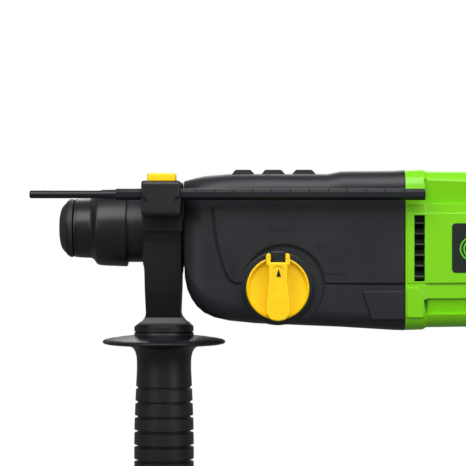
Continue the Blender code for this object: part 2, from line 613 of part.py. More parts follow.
room = loft("room", [
    rounded(SHELL_FRONT - 0.01, *BARREL[0][1:], SHELL_WALL)] + [
    rounded(*section, SHELL_WALL) for section in BARREL[:-1]] + [
    rounded(0.2312, *BARREL[-1][1:], SHELL_WALL)], GREEN)
handle_room = prism("handle_room", inset_outline(HANDLE_OUTLINE, SHELL_WALL), "XZ",
                    SHELL_WALL - HANDLE_HALF, HANDLE_HALF - SHELL_WALL, GREEN)
cut(handle_room, prism("island", opening_wall, "XZ", -0.05, 0.05, GREEN))
fuse(room, handle_room,
     block("foot_room", (FOOT_FRONT + SHELL_WALL, SHELL_WALL - FOOT_HALF, -0.1252),
           (0.3272, FOOT_HALF - SHELL_WALL, -0.1193), GREEN))
cut(shell, room,
    block("rail_room", (0.2090, -0.0297, -0.1360), (0.3400, 0.0297, -0.1283), GREEN),
    block("rail_mouth", (0.2090, -0.0270, -0.1450), (0.3400, 0.0270, -0.1350), GREEN),
    block("terminal_hole", (0.2217, -0.0120, -0.1300), (0.2363, 0.0120, -0.1240), GREEN),
    block("latch_hole", (0.3154, -0.0085, -0.1300), (0.3400, 0.0085, -0.1240), GREEN),
    block("trigger_hole", (0.2600, -0.0070, -0.0503), (0.2950, 0.0070, -0.0147), GREEN),
    block("slider_hole", (0.2697, -0.0300, -0.0063), (0.2793, 0.0300, 0.0003), GREEN))
for start, end, bore in ((0.1620, 0.1650, 0.0279), (0.2000, 0.2030, 0.0279), (0.2205, 0.2275, 0.0096)):
    rib = loft("rib", [rounded(x, 0.0345 - 0.0035 * (bore < 0.02), -0.0520 + 0.004 * (bore < 0.02),
                               0.0295, 0.010) for x in (start, end)], GREEN)
    cut(rib, tube("rib_bore", 0.1, 0.3, 0, bore, GREEN, "X", MOTOR, 24),
        tube("wire_way", 0.1, 0.3, 0, 0.0045, GREEN, "X", (0, 0, -0.0440), 10))
    fuse(shell, rib)
for side in (-1, 1):
    low, high = sorted((side * 0.0300, side * 0.0400))
    cut(shell, block("vent_window", (0.1450, low, -0.0285), (0.1506, high, 0.0067), GREEN))


def half_of(body, name, side):
    """A copy of a body kept only on one side of the middle plane."""
    made = body.copy()
    made.data = body.data.copy()
    made.name = name
    bpy.context.scene.collection.objects.link(made)
    low, high = sorted((side * GAP / 2, -side * 0.1))
    return cut(made, block("half", (0.1, low, -0.2), (0.4, high, 0.1), GREEN))


right_housing_shell = half_of(shell, "right_housing_shell", 1)
left_housing_shell = half_of(shell, "left_housing_shell", -1)
bpy.data.objects.remove(shell, do_unlink=True)

trims = []
for side, label in ((-1, "left"), (1, "right")):
    low, high = sorted((side * 0.0335, side * 0.0364))
    grille = block(label + "_vent_grille", (0.1453, low, -0.0282), (0.1503, high, 0.0064), BLACK)
    for i in range(6):
        z = -0.0262 + 0.0056 * i
        cut(grille, block("slot", (0.1461, -0.05, z), (0.1495, 0.05, z + 0.0036), BLACK))
    low, high = sorted((side * 0.0373, side * 0.0363))
    plate = prism(label + "_label_plate", [
        (0.1650, -0.0210), (0.1680, -0.0240), (0.2010, -0.0240), (0.2040, -0.0210), (0.2040, -0.0005),
        (0.2010, 0.0025), (0.1680, 0.0025), (0.1650, -0.0005),
    ], "XZ", low, high, DARK_STEEL)
    low, high = sorted((side * (HANDLE_HALF + GAP), side * (HANDLE_HALF + 0.0018)))
    pad = prism(label + "_grip_pad", [
        (0.2930, -0.1020), (0.2980, -0.1060), (0.3230, -0.1060), (0.3275, -0.1020), (0.3262, -0.0600),
        (0.3205, -0.0100), (0.3150, 0.0080), (0.3050, 0.0130), (0.2960, 0.0080), (0.2925, -0.0200),
        (0.2950, -0.0600),
    ], "XZ", low, high, RUBBER)
    trims += [grille, plate, pad]

trigger = prism("trigger", [
    (0.2690, -0.0170), (0.2665, -0.0300), (0.2680, -0.0440), (0.2730, -0.0498), (0.2905, -0.0498),
    (0.2905, -0.0152), (0.2720, -0.0152),
], "XZ", -0.0065, 0.0065, BLACK)
bevelled(trigger, 0.0012)
trigger_spring = coil("trigger_spring", 0.0042, 0.0004, 0.2908, 0.3017, 4, STEEL, "X", (0, 0, -0.0325))
switch_body = block("switch_body", (0.3020, -0.0090, -0.0500), (0.3180, 0.0090, -0.0180), DARK_STEEL)
direction_slider = block("direction_slider", (0.2700, -0.0205, -0.0060), (0.2790, 0.0205, 0.0), BLACK)
bevelled(direction_slider, 0.0010)
terminal_block = block("terminal_block", (0.2220, -0.0117, -0.1281), (0.2360, 0.0117, -0.1200), BLACK)
for y in (-0.0080, 0.0, 0.0080):
    fuse(terminal_block, block("blade", (0.2240, y - 0.0005, -0.1340), (0.2340, y + 0.0005, -0.1275), BLACK))
controller_board = block("controller_board", (0.2450, -0.0250, -0.1245), (0.3050, 0.0250, -0.1229), BOARD)
fuse(controller_board, block("chip", (0.2550, -0.0080, -0.1235), (0.2750, 0.0080, -0.1205), BOARD))

# ---- Battery -----------------------------------------------------------------------------------


def pack_part(name, low, high, open_low):
    """A hollow box of the battery case, open at its lower or upper end."""
    body = prism(name, [
        (PACK_FRONT, -0.0315), (PACK_FRONT + 0.006, -PACK_HALF), (PACK_REAR - 0.006, -PACK_HALF),
        (PACK_REAR, -0.0315), (PACK_REAR, 0.0315), (PACK_REAR - 0.006, PACK_HALF),
        (PACK_FRONT + 0.006, PACK_HALF), (PACK_FRONT, 0.0315),
    ], "XY", low, high, BLACK)
    floor, ceiling = (low - 0.01, high - 0.0025) if open_low else (low + 0.0025, high + 0.01)
    return cut(body, prism("room", [
        (PACK_FRONT + 0.0025, -0.0305), (PACK_FRONT + 0.007, -0.0350), (PACK_REAR - 0.007, -0.0350),
        (PACK_REAR - 0.0025, -0.0305), (PACK_REAR - 0.0025, 0.0305), (PACK_REAR - 0.007, 0.0350),
        (PACK_FRONT + 0.007, 0.0350), (PACK_FRONT + 0.0025, 0.0305),
    ], "XY", floor, ceiling, BLACK))


battery_lower_case = pack_part("battery_lower_case", BASE_Z, PACK_SPLIT - GAP / 2, False)
battery_upper_case = pack_part("battery_upper_case", PACK_SPLIT + GAP / 2, -0.1396, True)
fuse(battery_upper_case,
     block("tongue_neck", (0.2140, -0.0265, -0.1400), (0.3300, 0.0265, -0.1350), BLACK),
     block("tongue", (0.2140, -0.0292, -0.1355), (0.3300, 0.0292, -0.1288), BLACK))
cut(battery_upper_case,
    block("latch_well", (0.3156, -0.0083, -0.1600), (0.3234, 0.0083, -0.1200), BLACK),
    block("latch_slot", (0.3230, -0.0083, -0.1510), (0.3500, 0.0083, -0.1426), BLACK))
for y in (-0.0080, 0.0, 0.0080):
    cut(battery_upper_case, block("blade_slot", (0.2000, y - 0.0010, -0.1348), (0.2360, y + 0.0010, -0.1200), BLACK))
battery_latch = block("battery_latch", (0.3160, -0.0080, -0.1470), (0.3230, 0.0080, -0.1264), BLACK,
                      (0.3195, 0, -0.1400))
fuse(battery_latch, block("thumb_bar", (0.3225, -0.0080, -0.1470), (0.3425, 0.0080, -0.1430), BLACK))
cell_pack = block("cell_pack", (0.2200, -0.0020, -0.1660), (0.3280, 0.0020, -0.1620), CELL)
for i in range(CELL_COUNT):
    fuse(cell_pack, tube("cell", -0.0325, 0.0325, 0, CELL_RADIUS, CELL, "Y",
                         (0.2275 + 0.0194 * i, 0, -0.1645), 16))

# ---- Side handle and depth stop ----------------------------------------------------------------


def plan(z, half_x, half_y, radius, steps=2):
    """A rounded rectangle in the XY plane about the side handle's axis."""
    outline = []
    for sx, sy, start in ((1, 1, 0), (-1, 1, 90), (-1, -1, 180), (1, -1, 270)):
        outline += arc(radius, start, start + 90, steps, (sx * (half_x - radius), sy * (half_y - radius)))
    return [Vector((HANDLE_X + x, y, z)) for x, y in outline]


clamp_head = tube("clamp_head", HANDLE_X - CLAMP_HALF, HANDLE_X + CLAMP_HALF, 0, CLAMP_RADIUS, BLACK, steps=24)
fuse(clamp_head,
     block("rod_holder", (HANDLE_X - CLAMP_HALF + 0.0002, -0.0503, 0.0060),
           (HANDLE_X + CLAMP_HALF - 0.0002, -0.0150, 0.0252), BLACK),
     block("cheek", (HANDLE_X - CLAMP_HALF + 0.0004, -0.0282, -0.0022),
           (HANDLE_X + CLAMP_HALF - 0.0004, -0.0150, 0.0100), BLACK),
     loft("yoke", [
         plan(-0.0060, CLAMP_HALF - 0.0003, 0.0250, 0.0012),
         plan(-0.0337, CLAMP_HALF - 0.0003, 0.0200, 0.0020),
         plan(-0.0480, 0.0098, 0.0130, 0.0040), plan(-0.0520, 0.0120, 0.0140, 0.0060),
         plan(-0.0543, 0.0165, 0.0165, 0.0120), plan(-0.0569, 0.0165, 0.0165, 0.0120),
     ], BLACK))
cut(clamp_head,
    tube("clamp_bore", -0.02, 0.04, 0, CLAMP_BORE, BLACK, steps=24),
    block("lug_room", (0.0037, -0.0083, -0.0344), (0.0163, 0.0083, -0.0150), BLACK),
    tube("bolt_hole", -0.0600, -0.0300, 0, 0.0043, BLACK, "Z", (HANDLE_X, 0, 0), 16),
    prism("rod_hole", [
        (ROD_Y + a, ROD_Z + b) for a, b in arc(ROD_FLATS / math.sqrt(3) + SLIDING, 30, 330, 5)
    ], "YZ", -0.02, 0.04, BLACK),
    block("button_room", (0.0024, -0.0492, 0.0214), (0.0182, -0.0327, 0.0300), BLACK),
    block("button_well", (0.0064, -0.0404, 0.0105), (0.0142, -0.0351, 0.0220), BLACK))
clamp_strap = tube("clamp_strap", 0.0020, 0.0180, STRAP_RADIUS, STRAP_RADIUS + STRAP_THICK, STEEL, steps=24)
lug = block("lug", (0.0040, -0.0080, -0.0340), (0.0160, 0.0080, -0.0205), STEEL)
cut(lug, tube("lug_clear", -0.02, 0.04, 0, STRAP_RADIUS + 0.0004, STEEL, steps=24))
fuse(clamp_strap, lug)
cut(clamp_strap,
    tube("head_pocket", -0.0290, -0.0240, 0, 0.0067, STEEL, "Z", (HANDLE_X, 0, 0), 16),
    tube("bolt_hole", -0.0400, -0.0280, 0, 0.0043, STEEL, "Z", (HANDLE_X, 0, 0), 16))
handle_bolt = turned("handle_bolt", [
    (-0.0246, 0), (-0.0246, 0.0060), (-0.0286, 0.0060), (-0.0286, 0.0040), (-0.0950, 0.0040), (-0.0950, 0),
], STEEL, "Z", (HANDLE_X, 0, 0), 16)
handle_nut = prism("handle_nut", [
    (HANDLE_X + a, b) for a, b in arc(0.0073, 0, 300, 5)], "XY", -0.0910, -0.0842, STEEL, (HANDLE_X, 0, 0))
cut(handle_nut, tube("thread", -0.1, -0.08, 0, 0.0043, STEEL, "Z", (HANDLE_X, 0, 0), 16))
handle_grip = turned("handle_grip", [
    (-0.0573, 0.0043), (-0.0573, 0.0160), (-0.0590, 0.0165), (-0.0595, 0.0180), (-0.0613, 0.0332),
    (-0.0622, 0.0339), (-0.0636, 0.0334), (-0.0648, 0.0180), (-0.0665, 0.0158), (-0.0740, 0.0150),
    (-0.0950, 0.0157), (-0.1200, 0.0165), (-0.1500, 0.0160), (-0.1660, 0.0153), (-0.1690, 0.0166),
    (-0.1760, 0.0170), (BASE_Z, 0.0155), (BASE_Z, 0), (-0.0970, 0), (-0.0970, 0.0043),
    (-0.0914, 0.0043), (-0.0914, 0.0077), (-0.0838, 0.0077), (-0.0838, 0.0043),
], BLACK, "Z", (HANDLE_X, 0, 0), 24)
depth_rod = prism("depth_rod", [
    (ROD_Y + a, ROD_Z + b) for a, b in arc(ROD_FLATS / math.sqrt(3), 30, 330, 5)
], "YZ", ROD_STEP, ROD_REAR, BLACK, (HANDLE_X, ROD_Y, ROD_Z))
fuse(depth_rod, turned("tip", [
    (ROD_TIP, 0), (ROD_TIP, 0.0014), (ROD_TIP + 0.0010, 0.0021), (-0.0220, 0.0021), (ROD_STEP, 0.0026),
    (ROD_STEP + 0.0010, 0.0026), (ROD_STEP + 0.0010, 0),
], BLACK, "X", (0, ROD_Y, ROD_Z), 12))
depth_button = block("depth_button", (0.0027, -0.0489, 0.0242), (0.0179, -0.0330, 0.0290), YELLOW,
                     (HANDLE_X, -0.0410, 0.0260))
fuse(depth_button, block("stem", (0.0067, -0.0401, 0.0135), (0.0139, -0.0354, 0.0250), YELLOW))
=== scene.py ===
"""Finishes for a cordless demolition hammer, laid over its solid parts.

Lengths are metres: +X runs from the chuck to the rear handle, +Z is up, and the
mode selector is on the -Y side.
"""
import json
import math

import bmesh
import bpy
from mathutils import Matrix, Vector

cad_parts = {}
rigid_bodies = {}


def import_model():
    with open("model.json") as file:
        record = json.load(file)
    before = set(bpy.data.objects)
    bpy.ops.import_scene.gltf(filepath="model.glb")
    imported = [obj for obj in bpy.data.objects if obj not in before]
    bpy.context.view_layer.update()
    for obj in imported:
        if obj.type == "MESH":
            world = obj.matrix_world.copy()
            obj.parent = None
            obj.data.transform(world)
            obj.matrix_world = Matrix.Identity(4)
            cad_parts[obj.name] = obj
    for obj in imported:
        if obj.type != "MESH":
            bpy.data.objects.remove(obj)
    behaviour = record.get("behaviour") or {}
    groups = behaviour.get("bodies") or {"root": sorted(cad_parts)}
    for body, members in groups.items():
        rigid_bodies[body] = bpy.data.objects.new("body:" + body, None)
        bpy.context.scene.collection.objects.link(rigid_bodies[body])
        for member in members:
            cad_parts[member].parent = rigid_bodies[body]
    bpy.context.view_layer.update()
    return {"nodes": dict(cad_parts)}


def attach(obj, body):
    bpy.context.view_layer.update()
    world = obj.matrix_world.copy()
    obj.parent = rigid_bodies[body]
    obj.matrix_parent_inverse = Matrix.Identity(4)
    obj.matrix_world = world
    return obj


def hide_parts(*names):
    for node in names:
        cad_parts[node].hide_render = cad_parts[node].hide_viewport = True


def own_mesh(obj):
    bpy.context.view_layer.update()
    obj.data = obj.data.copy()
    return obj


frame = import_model()
nodes = frame["nodes"]
for obj in bpy.context.scene.objects:
    obj.select_set(False)

MM = 0.001
ROUND = 96  # sides of a large round piece
SIDES = ((-1, "left"), (1, "right"))
# One step along each axis.
STEP = {"X": Vector((1, 0, 0)), "Y": Vector((0, 1, 0)), "Z": Vector((0, 0, 1))}

# ---- Camera, floor and light -------------------------------------------------------------------

CAMERA = Vector((0.0481, -1.1, -0.00276))
lens = bpy.data.cameras.new("camera")
lens.lens, lens.sensor_width = 153.8, 36.0
lens.clip_end = 20
camera = bpy.data.objects.new("camera", lens)
camera.location = CAMERA
camera.rotation_euler = (math.pi / 2, 0, 0)
bpy.context.scene.collection.objects.link(camera)
bpy.context.scene.camera = camera
bpy.context.scene.view_settings.view_transform = "Standard"
bpy.context.scene.view_settings.look = "None"


def linear(code):
    """A linear colour with alpha from an sRGB hex value."""
    out = []
    for i in (0, 2, 4):
        v = int(code[i + 1:i + 3], 16) / 255
        out.append(v / 12.92 if v <= 0.04045 else ((v + 0.055) / 1.055) ** 2.4)
    return (*out, 1.0)


def add(tree, kind, settings=None, links=None):
    """Adds a node, sets its properties and sockets, and links sockets into it."""
    made = tree.nodes.new(kind)
    for key, value in (settings or {}).items():
        if key in made.inputs:
            made.inputs[key].default_value = value
        else:
            setattr(made, key, value)
    for key, socket in (links or {}).items():
        tree.links.new(socket, made.inputs[key])
    return made


def softbox(name, place, aim, width, height, power):
    """A rectangular studio light that faces a point."""
    light = bpy.data.lights.new(name, "AREA")
    light.shape, light.size, light.size_y = "RECTANGLE", width, height
    light.energy = power
    made = bpy.data.objects.new(name, light)
    made.location = place
    made.rotation_euler = (Vector(aim) - Vector(place)).to_track_quat("-Z", "Y").to_euler()
    bpy.context.scene.collection.objects.link(made)


softbox("overhead", (0.08, -0.60, 0.60), (0.12, 0, 0), 1.2, 0.6, 9)
softbox("front_left", (-0.70, -0.80, 0.40), (0.10, 0, 0), 0.5, 0.7, 2.5)
softbox("front_right", (0.80, -0.80, 0.30), (0.15, 0, 0), 0.5, 0.7, 2.1)
softbox("behind", (0.20, 0.90, 0.60), (0.15, 0, 0), 0.8, 0.6, 5)

world = bpy.data.worlds.new("studio")
world.use_nodes = True
tree = world.node_tree
sky = tree.nodes["Background"]
sky.inputs["Color"].default_value = linear("#ffffff")
seen = add(tree, "ShaderNodeLightPath").outputs["Is Camera Ray"]
across = add(tree, "ShaderNodeTexCoord").outputs["Generated"]
up = add(tree, "ShaderNodeSeparateXYZ", links={0: across}).outputs["Z"]
# What lights the object: a little less from below than from above.
dome = add(tree, "ShaderNodeMapRange", {"From Min": -0.3, "To Min": 0.20, "To Max": 0.26},
           {"Value": up}).outputs[0]
# The backdrop itself is white.
level = add(tree, "ShaderNodeMapRange", {"To Max": 1.0}, {"Value": seen, "To Min": dome}).outputs[0]
tree.links.new(level, sky.inputs["Strength"])
bpy.context.scene.world = world


# ---- Materials ---------------------------------------------------------------------------------

def finish_of(name, code, roughness, metallic=0.0, grain=0.0, depth=0.0, tone=0.0, spread=0.0,
              ior=1.5, coat=0.0, brushed=None, wear=None):
    """A finish: base colour, fine surface grain of a size in metres, colour and gloss variation."""
    made = bpy.data.materials.new(name)
    made.use_nodes = True
    tree = made.node_tree
    shader = tree.nodes["Principled BSDF"]
    shader.inputs["Base Color"].default_value = linear(code)
    shader.inputs["Roughness"].default_value = roughness
    shader.inputs["Metallic"].default_value = metallic
    shader.inputs["IOR"].default_value = ior
    shader.inputs["Coat Weight"].default_value = coat
    shader.inputs["Coat Roughness"].default_value = 0.15
    place = add(tree, "ShaderNodeTexCoord").outputs["Object"]
    if brushed:
        place = add(tree, "ShaderNodeMapping", {"Scale": brushed}, {"Vector": place}).outputs[0]
    if tone or spread or wear:
        patches = add(tree, "ShaderNodeTexNoise", {"Scale": 28.0, "Detail": 5.0, "Roughness": 0.6},
                      {"Vector": place}).outputs["Fac"]
        if tone:
            darker, lighter = linear(code), linear(wear or code)
            ramp = add(tree, "ShaderNodeMix", {"data_type": "RGBA"})
            ramp.inputs[6].default_value = [c * (1 - tone) for c in darker[:3]] + [1]
            ramp.inputs[7].default_value = [min(1, c * (1 + tone)) for c in lighter[:3]] + [1]
            tree.links.new(patches, ramp.inputs[0])
            tree.links.new(ramp.outputs[2], shader.inputs["Base Color"])
        if spread:
            gloss = add(tree, "ShaderNodeMapRange", {
                "From Min": 0.3, "From Max": 0.7, "To Min": roughness - spread,
                "To Max": roughness + spread}, {"Value": patches})
            tree.links.new(gloss.outputs[0], shader.inputs["Roughness"])
    if grain:
        texture = add(tree, "ShaderNodeTexNoise", {"Scale": 1 / grain, "Detail": 2.0},
                      {"Vector": place}).outputs["Fac"]
        bump = add(tree, "ShaderNodeBump", {"Strength": 0.6, "Distance": depth},
                   {"Height": texture})
        tree.links.new(bump.outputs[0], shader.inputs["Normal"])
    return made


# Glass-filled nylon from a spark-eroded mould: satin charcoal with a fine even grain.
nylon_black = finish_of("moulded_nylon_black", "#16191e", 0.44, grain=0.0007, depth=0.00005,
                        tone=0.14, spread=0.06, wear="#1a1d22")
# The chuck sleeve and side handle are the same nylon from a smoother mould, so they shine more.
nylon_sleeve = finish_of("smooth_nylon_black", "#14161a", 0.38, grain=0.0010, depth=0.00003,
                         tone=0.12, spread=0.05)
# Soft moulded rubber, greyer, with a dull bloom.
rubber_grey = finish_of("moulded_rubber_cap", "#191a1b", 0.58, grain=0.0008, depth=0.00006,
                        tone=0.20, spread=0.08, wear="#202122")
rubber_grip = finish_of("overmoulded_grip_rubber", "#101113", 0.70, grain=0.0006, depth=0.00012,
                        tone=0.15, spread=0.06)
# Injection-moulded ABS from a polished mould: clear bright green, gently glossy.
abs_green = finish_of("polished_abs_green", "#7ad000", 0.36, grain=0.0022, depth=0.00003,
                      tone=0.03, spread=0.05, coat=0.15)
nylon_yellow = finish_of("moulded_nylon_yellow", "#ffd200", 0.42, grain=0.0008, depth=0.00003,
                         tone=0.03, spread=0.05)
# Blackened steel bar: low sheen, worn a little brighter along its length.
steel_black = finish_of("blackened_steel_bar", "#1c1f23", 0.36, metallic=0.35, grain=0.0006,
                        depth=0.00003, tone=0.2, spread=0.07, brushed=(0.15, 1, 1))
steel_bright = finish_of("ground_tool_steel", "#a9abad", 0.28, metallic=1.0, grain=0.0005,
                         depth=0.00002, tone=0.08, spread=0.08, brushed=(1, 0.2, 0.2))
steel_oiled = finish_of("oiled_gear_steel", "#77797b", 0.30, metallic=1.0, grain=0.0008,
                        depth=0.00002, tone=0.12, spread=0.08)
alloy_cast = finish_of("die_cast_aluminium", "#9a9da1", 0.5, metallic=1.0, grain=0.0009,
                       depth=0.00010, tone=0.1, spread=0.08)
lamination = finish_of("stacked_lamination", "#3b3d40", 0.5, metallic=0.8, grain=0.0008,
                       depth=0.0002, tone=0.1, spread=0.05, brushed=(1, 0.1, 0.1))
board_green = finish_of("solder_masked_board", "#0d3b1e", 0.4, grain=0.002, depth=0.00005,
                        tone=0.15, spread=0.05)
film_blue = finish_of("shrink_film_blue", "#14497c", 0.35, grain=0.004, depth=0.00005, tone=0.1,
                      spread=0.05)
# Printed polycarbonate label: dark, flat and slightly glossy.
label_dark = finish_of("printed_label_dark", "#1b2420", 0.30, grain=0.002, depth=0.00001,
                       tone=0.1, spread=0.03)
ink_green = finish_of("printed_ink_green", "#5fc321", 0.35, tone=0.04, spread=0.03)
ink_pale = finish_of("printed_ink_pale", "#8f9498", 0.5, tone=0.05, spread=0.03)
void_black = finish_of("unlit_cavity", "#050607", 0.8, tone=0.1, spread=0.05)
floor_pale = finish_of("painted_studio_floor", "#f4f4f4", 0.7, tone=0.01, spread=0.03)

CARRIED = {
    steel_bright: ["tool_holder", "impact_bolt", "striker", "piston_pin", "lock_ball_left",
                   "lock_ball_right", "front_bearing", "intermediate_bearing_front",
                   "intermediate_bearing_rear", "motor_bearing_front", "motor_bearing_rear",
                   "spring_washer", "sleeve_spring", "trigger_spring", "handle_bolt", "handle_nut",
                   "motor_shaft", "clamp_strap"],
    steel_oiled: ["spindle_gear", "intermediate_shaft", "intermediate_gear", "wobble_hub",
                  "wobble_ring", "selector_crank", "shift_plate"],
    alloy_cast: ["bulkhead", "bolt_guide", "piston", "spindle_bush"],
    lamination: ["rotor", "stator"],
    nylon_black: ["fan", "switch_body", "terminal_block"],
    rubber_grip: ["front_seal"],
    board_green: ["controller_board"],
    film_blue: ["cell_pack"],
}
for finish, names in CARRIED.items():
    for name in names:
        nodes[name].data.materials.clear()
        nodes[name].data.materials.append(finish)


# ---- Modelling ---------------------------------------------------------------------------------

def layer(side, near, far):
    """Where a layer on one side starts and ends in Y, the lower value first."""
    return sorted((side * near, side * far))


def around(middle, radius, turn):
    """The point at a radius and an angle in degrees from a middle."""
    return (middle[0] + radius * math.cos(math.radians(turn)),
            middle[1] + radius * math.sin(math.radians(turn)))


def arc(middle, radius, start, end, steps):
    """Evenly spaced points from one angle to another."""
    return [around(middle, radius, start + (end - start) * k / steps) for k in range(steps + 1)]


def deselect():
    bpy.ops.object.select_all(action="DESELECT")


def traced(name, points, filled=False):
    """A chain of edges extruded point by point, left in edit mode; filled closes it with a face."""
    points = [Vector(p) for p in points]
    deselect()
    bpy.ops.mesh.primitive_plane_add(size=MM, location=points[0])
    made = bpy.context.object
    made.name = made.data.name = name
    bpy.ops.object.mode_set(mode="EDIT")
    bpy.ops.mesh.merge(type="CENTER")
    for here, there in zip(points, points[1:]):
        bpy.ops.mesh.extrude_region_move(TRANSFORM_OT_translate={"value": there - here})
    if filled:
        bpy.ops.mesh.select_all(action="SELECT")
        bpy.ops.mesh.edge_face_add()
    return made


def settle(made):
    """Back to object mode, with the place kept in the mesh."""
    if bpy.context.object and bpy.context.object.mode == "EDIT":
        bpy.ops.object.mode_set(mode="OBJECT")
    deselect()
    made.select_set(True)
    bpy.context.view_layer.objects.active = made
    bpy.ops.object.transform_apply(location=True, rotation=True, scale=True)
    return made


def turned(name, profile, axis="X", centre=(0, 0, 0), sides=ROUND):
    """Spins an outline of (place along the axis, radius) into a closed solid."""
    out = STEP["Z" if axis != "Z" else "X"]
    points = [Vector(centre) + STEP[axis] * p + out * r for p, r in profile]
    if profile[0][1] > 0 and profile[-1][1] > 0:
        points.append(points[0])
    made = traced(name, points)
    bpy.ops.mesh.select_all(action="SELECT")
    bpy.ops.mesh.remove_doubles(threshold=1e-7)
    bpy.ops.mesh.spin(steps=sides, angle=math.tau, center=centre, axis=STEP[axis])
    bpy.ops.mesh.select_all(action="SELECT")
    bpy.ops.mesh.remove_doubles(threshold=2e-6)
    bpy.ops.mesh.normals_make_consistent(inside=False)
    return settle(made)


def slab(name, outline, plane, low, high):
    """An outline in a plane, filled and extruded square to it."""
    build = {"XZ": lambda a, b: (a, low, b), "YZ": lambda a, b: (low, a, b),
             "XY": lambda a, b: (a, b, low)}[plane]
    along = {"XZ": STEP["Y"], "YZ": STEP["X"], "XY": STEP["Z"]}[plane]
    made = traced(name, [build(a, b) for a, b in outline], filled=True)
    bpy.ops.mesh.extrude_region_move(TRANSFORM_OT_translate={"value": along * (high - low)})
    bpy.ops.mesh.select_all(action="SELECT")
    bpy.ops.mesh.normals_make_consistent(inside=False)
    return settle(made)


def lofted(name, sections):
    """A closed skin through sections (X, half width, bottom, top, corner radius)."""
    def ring(x, half, low, high, radius):
        corners = [(-half, low, radius), (half, low, radius), (half, high, radius),
                   (-half, high, radius)]
        return [Vector((x, a, b)) for a, b in fillets(corners, 8)]
    made = traced(name, ring(*sections[0]), filled=True)
    origin = made.location.copy()
    for before, after in zip(sections, sections[1:]):
        step = Vector((after[0] - before[0], 0, 0))
        old, new = ring(*before), ring(*after)
        bpy.ops.mesh.extrude_region_move(TRANSFORM_OT_translate={"value": step})
        shape = bmesh.from_edit_mesh(made.data)
        for vert in shape.verts:
            if vert.select:
                place = min(range(len(old)),
                            key=lambda k: (old[k] + step - origin - vert.co).length)
                vert.co = new[place] - origin
        bmesh.update_edit_mesh(made.data)
    bpy.ops.mesh.select_all(action="SELECT")
    bpy.ops.mesh.normals_make_consistent(inside=False)
    return settle(made)


def modified(made, kind, **settings):
    """Adds a modifier and applies it."""
    bpy.context.view_layer.objects.active = made
    modifier = made.modifiers.new("shape", kind)
    for key, value in settings.items():
        setattr(modifier, key, value)
    bpy.ops.object.modifier_apply(modifier=modifier.name)
    return made


def eased(made, width, segments=3, angle=35):
    """Rounds the edges that turn more sharply than an angle."""
    return modified(made, "BEVEL", width=width, segments=segments, limit_method="ANGLE",
                    angle_limit=math.radians(angle), use_clamp_overlap=True,
                    miter_outer="MITER_ARC")


# How far aside the tool piece of a Boolean goes, try by try.
NUDGES = (0, 3e-6, -5e-6, 8e-6, -1.1e-5, 1.7e-5, -2.3e-5, 3.1e-5)


def measure(made):
    """Clears slivers, then gives a mesh's volume and how many edges don't join two faces."""
    shape = bmesh.new()
    shape.from_mesh(made.data)
    bmesh.ops.remove_doubles(shape, verts=shape.verts, dist=2e-6)
    bmesh.ops.dissolve_degenerate(shape, edges=shape.edges, dist=4e-6)
    loose = sum(len(edge.link_faces) != 2 for edge in shape.edges)
    volume = shape.calc_volume()
    shape.to_mesh(made.data)
    shape.free()
    return volume, loose


def boolean(made, other, operation):
    """A Boolean that tries again, its tool piece a hair aside, until the volume makes sense."""
    settle(made)
    old, tool = measure(made)[0], measure(other)[0]
    before = made.data.copy()
    if operation == "UNION":
        least, most = max(old, tool), old + tool
    else:
        least, most = max(old - tool, old * 0.2), old
    spare = 1e-4 * old
    best = None
    for nudge in NUDGES:
        other.location = (nudge, nudge * 0.7, nudge * 1.3)
        bpy.context.view_layer.update()
        modified(made, "BOOLEAN", operation=operation, solver="EXACT", object=other)
        volume, loose = measure(made)
        if least - spare <= volume <= most + spare and (best is None or loose < best[0]):
            best = (loose, made.data.copy())
            if not loose:
                break
        made.data = before.copy()
    if best is None or best[0]:
        print("rough Boolean:", made.name, other.name, operation, best and best[0], volume)
    made.data = best[1] if best else before
    bpy.data.objects.remove(other, do_unlink=True)
    return made


def carve(made, *cutters):
    """Takes each cutter away from a piece."""
    for cutter in cutters:
        boolean(made, cutter, "DIFFERENCE")
    return made


def weld(made, *others):
    """Joins other pieces to a piece."""
    for other in others:
        boolean(made, other, "UNION")
    return made


def box(name, low, high, width=0.0, segments=2):
    """A block between two corners, with rounded edges."""
    outline = [(low[0], low[2]), (high[0], low[2]), (high[0], high[2]), (low[0], high[2])]
    made = slab(name, outline, "XZ", low[1], high[1])
    return eased(made, width, segments) if width else made


def fillets(corners, steps=6):
    """Points of a closed outline from (a, b, corner radius)."""
    points = []
    for i, (a, b, radius) in enumerate(corners):
        here = Vector((a, b))
        before = Vector(corners[i - 1][:2]) - here
        after = Vector(corners[(i + 1) % len(corners)][:2]) - here
        if radius <= 0:
            points.append((a, b))
            continue
        half = before.angle(after) / 2
        reach = min(radius / math.tan(half), before.length * 0.49, after.length * 0.49)
        size = reach * math.tan(half)
        inward = (before.normalized() + after.normalized()).normalized()
        middle = here + inward * (size / math.sin(half))
        start = here + before.normalized() * reach - middle
        turn = start.angle_signed(here + after.normalized() * reach - middle)
        for k in range(steps + 1):
            spoke = start.copy()
            spoke.rotate(Matrix.Rotation(-turn * k / steps, 2))
            points.append(tuple(middle + spoke))
    return points


def finished(made, finish, body, replaced=(), smooth=32):
    """The last step for a piece: shading, material, the body it rides on and what it stands for."""
    settle(made)
    bpy.ops.object.shade_smooth_by_angle(angle=math.radians(smooth))
    modified(made, "WEIGHTED_NORMAL", keep_sharp=True)
    made.data.materials.clear()
    made.data.materials.append(finish)
    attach(made, body)
    if replaced:
        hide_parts(*replaced)
    return made


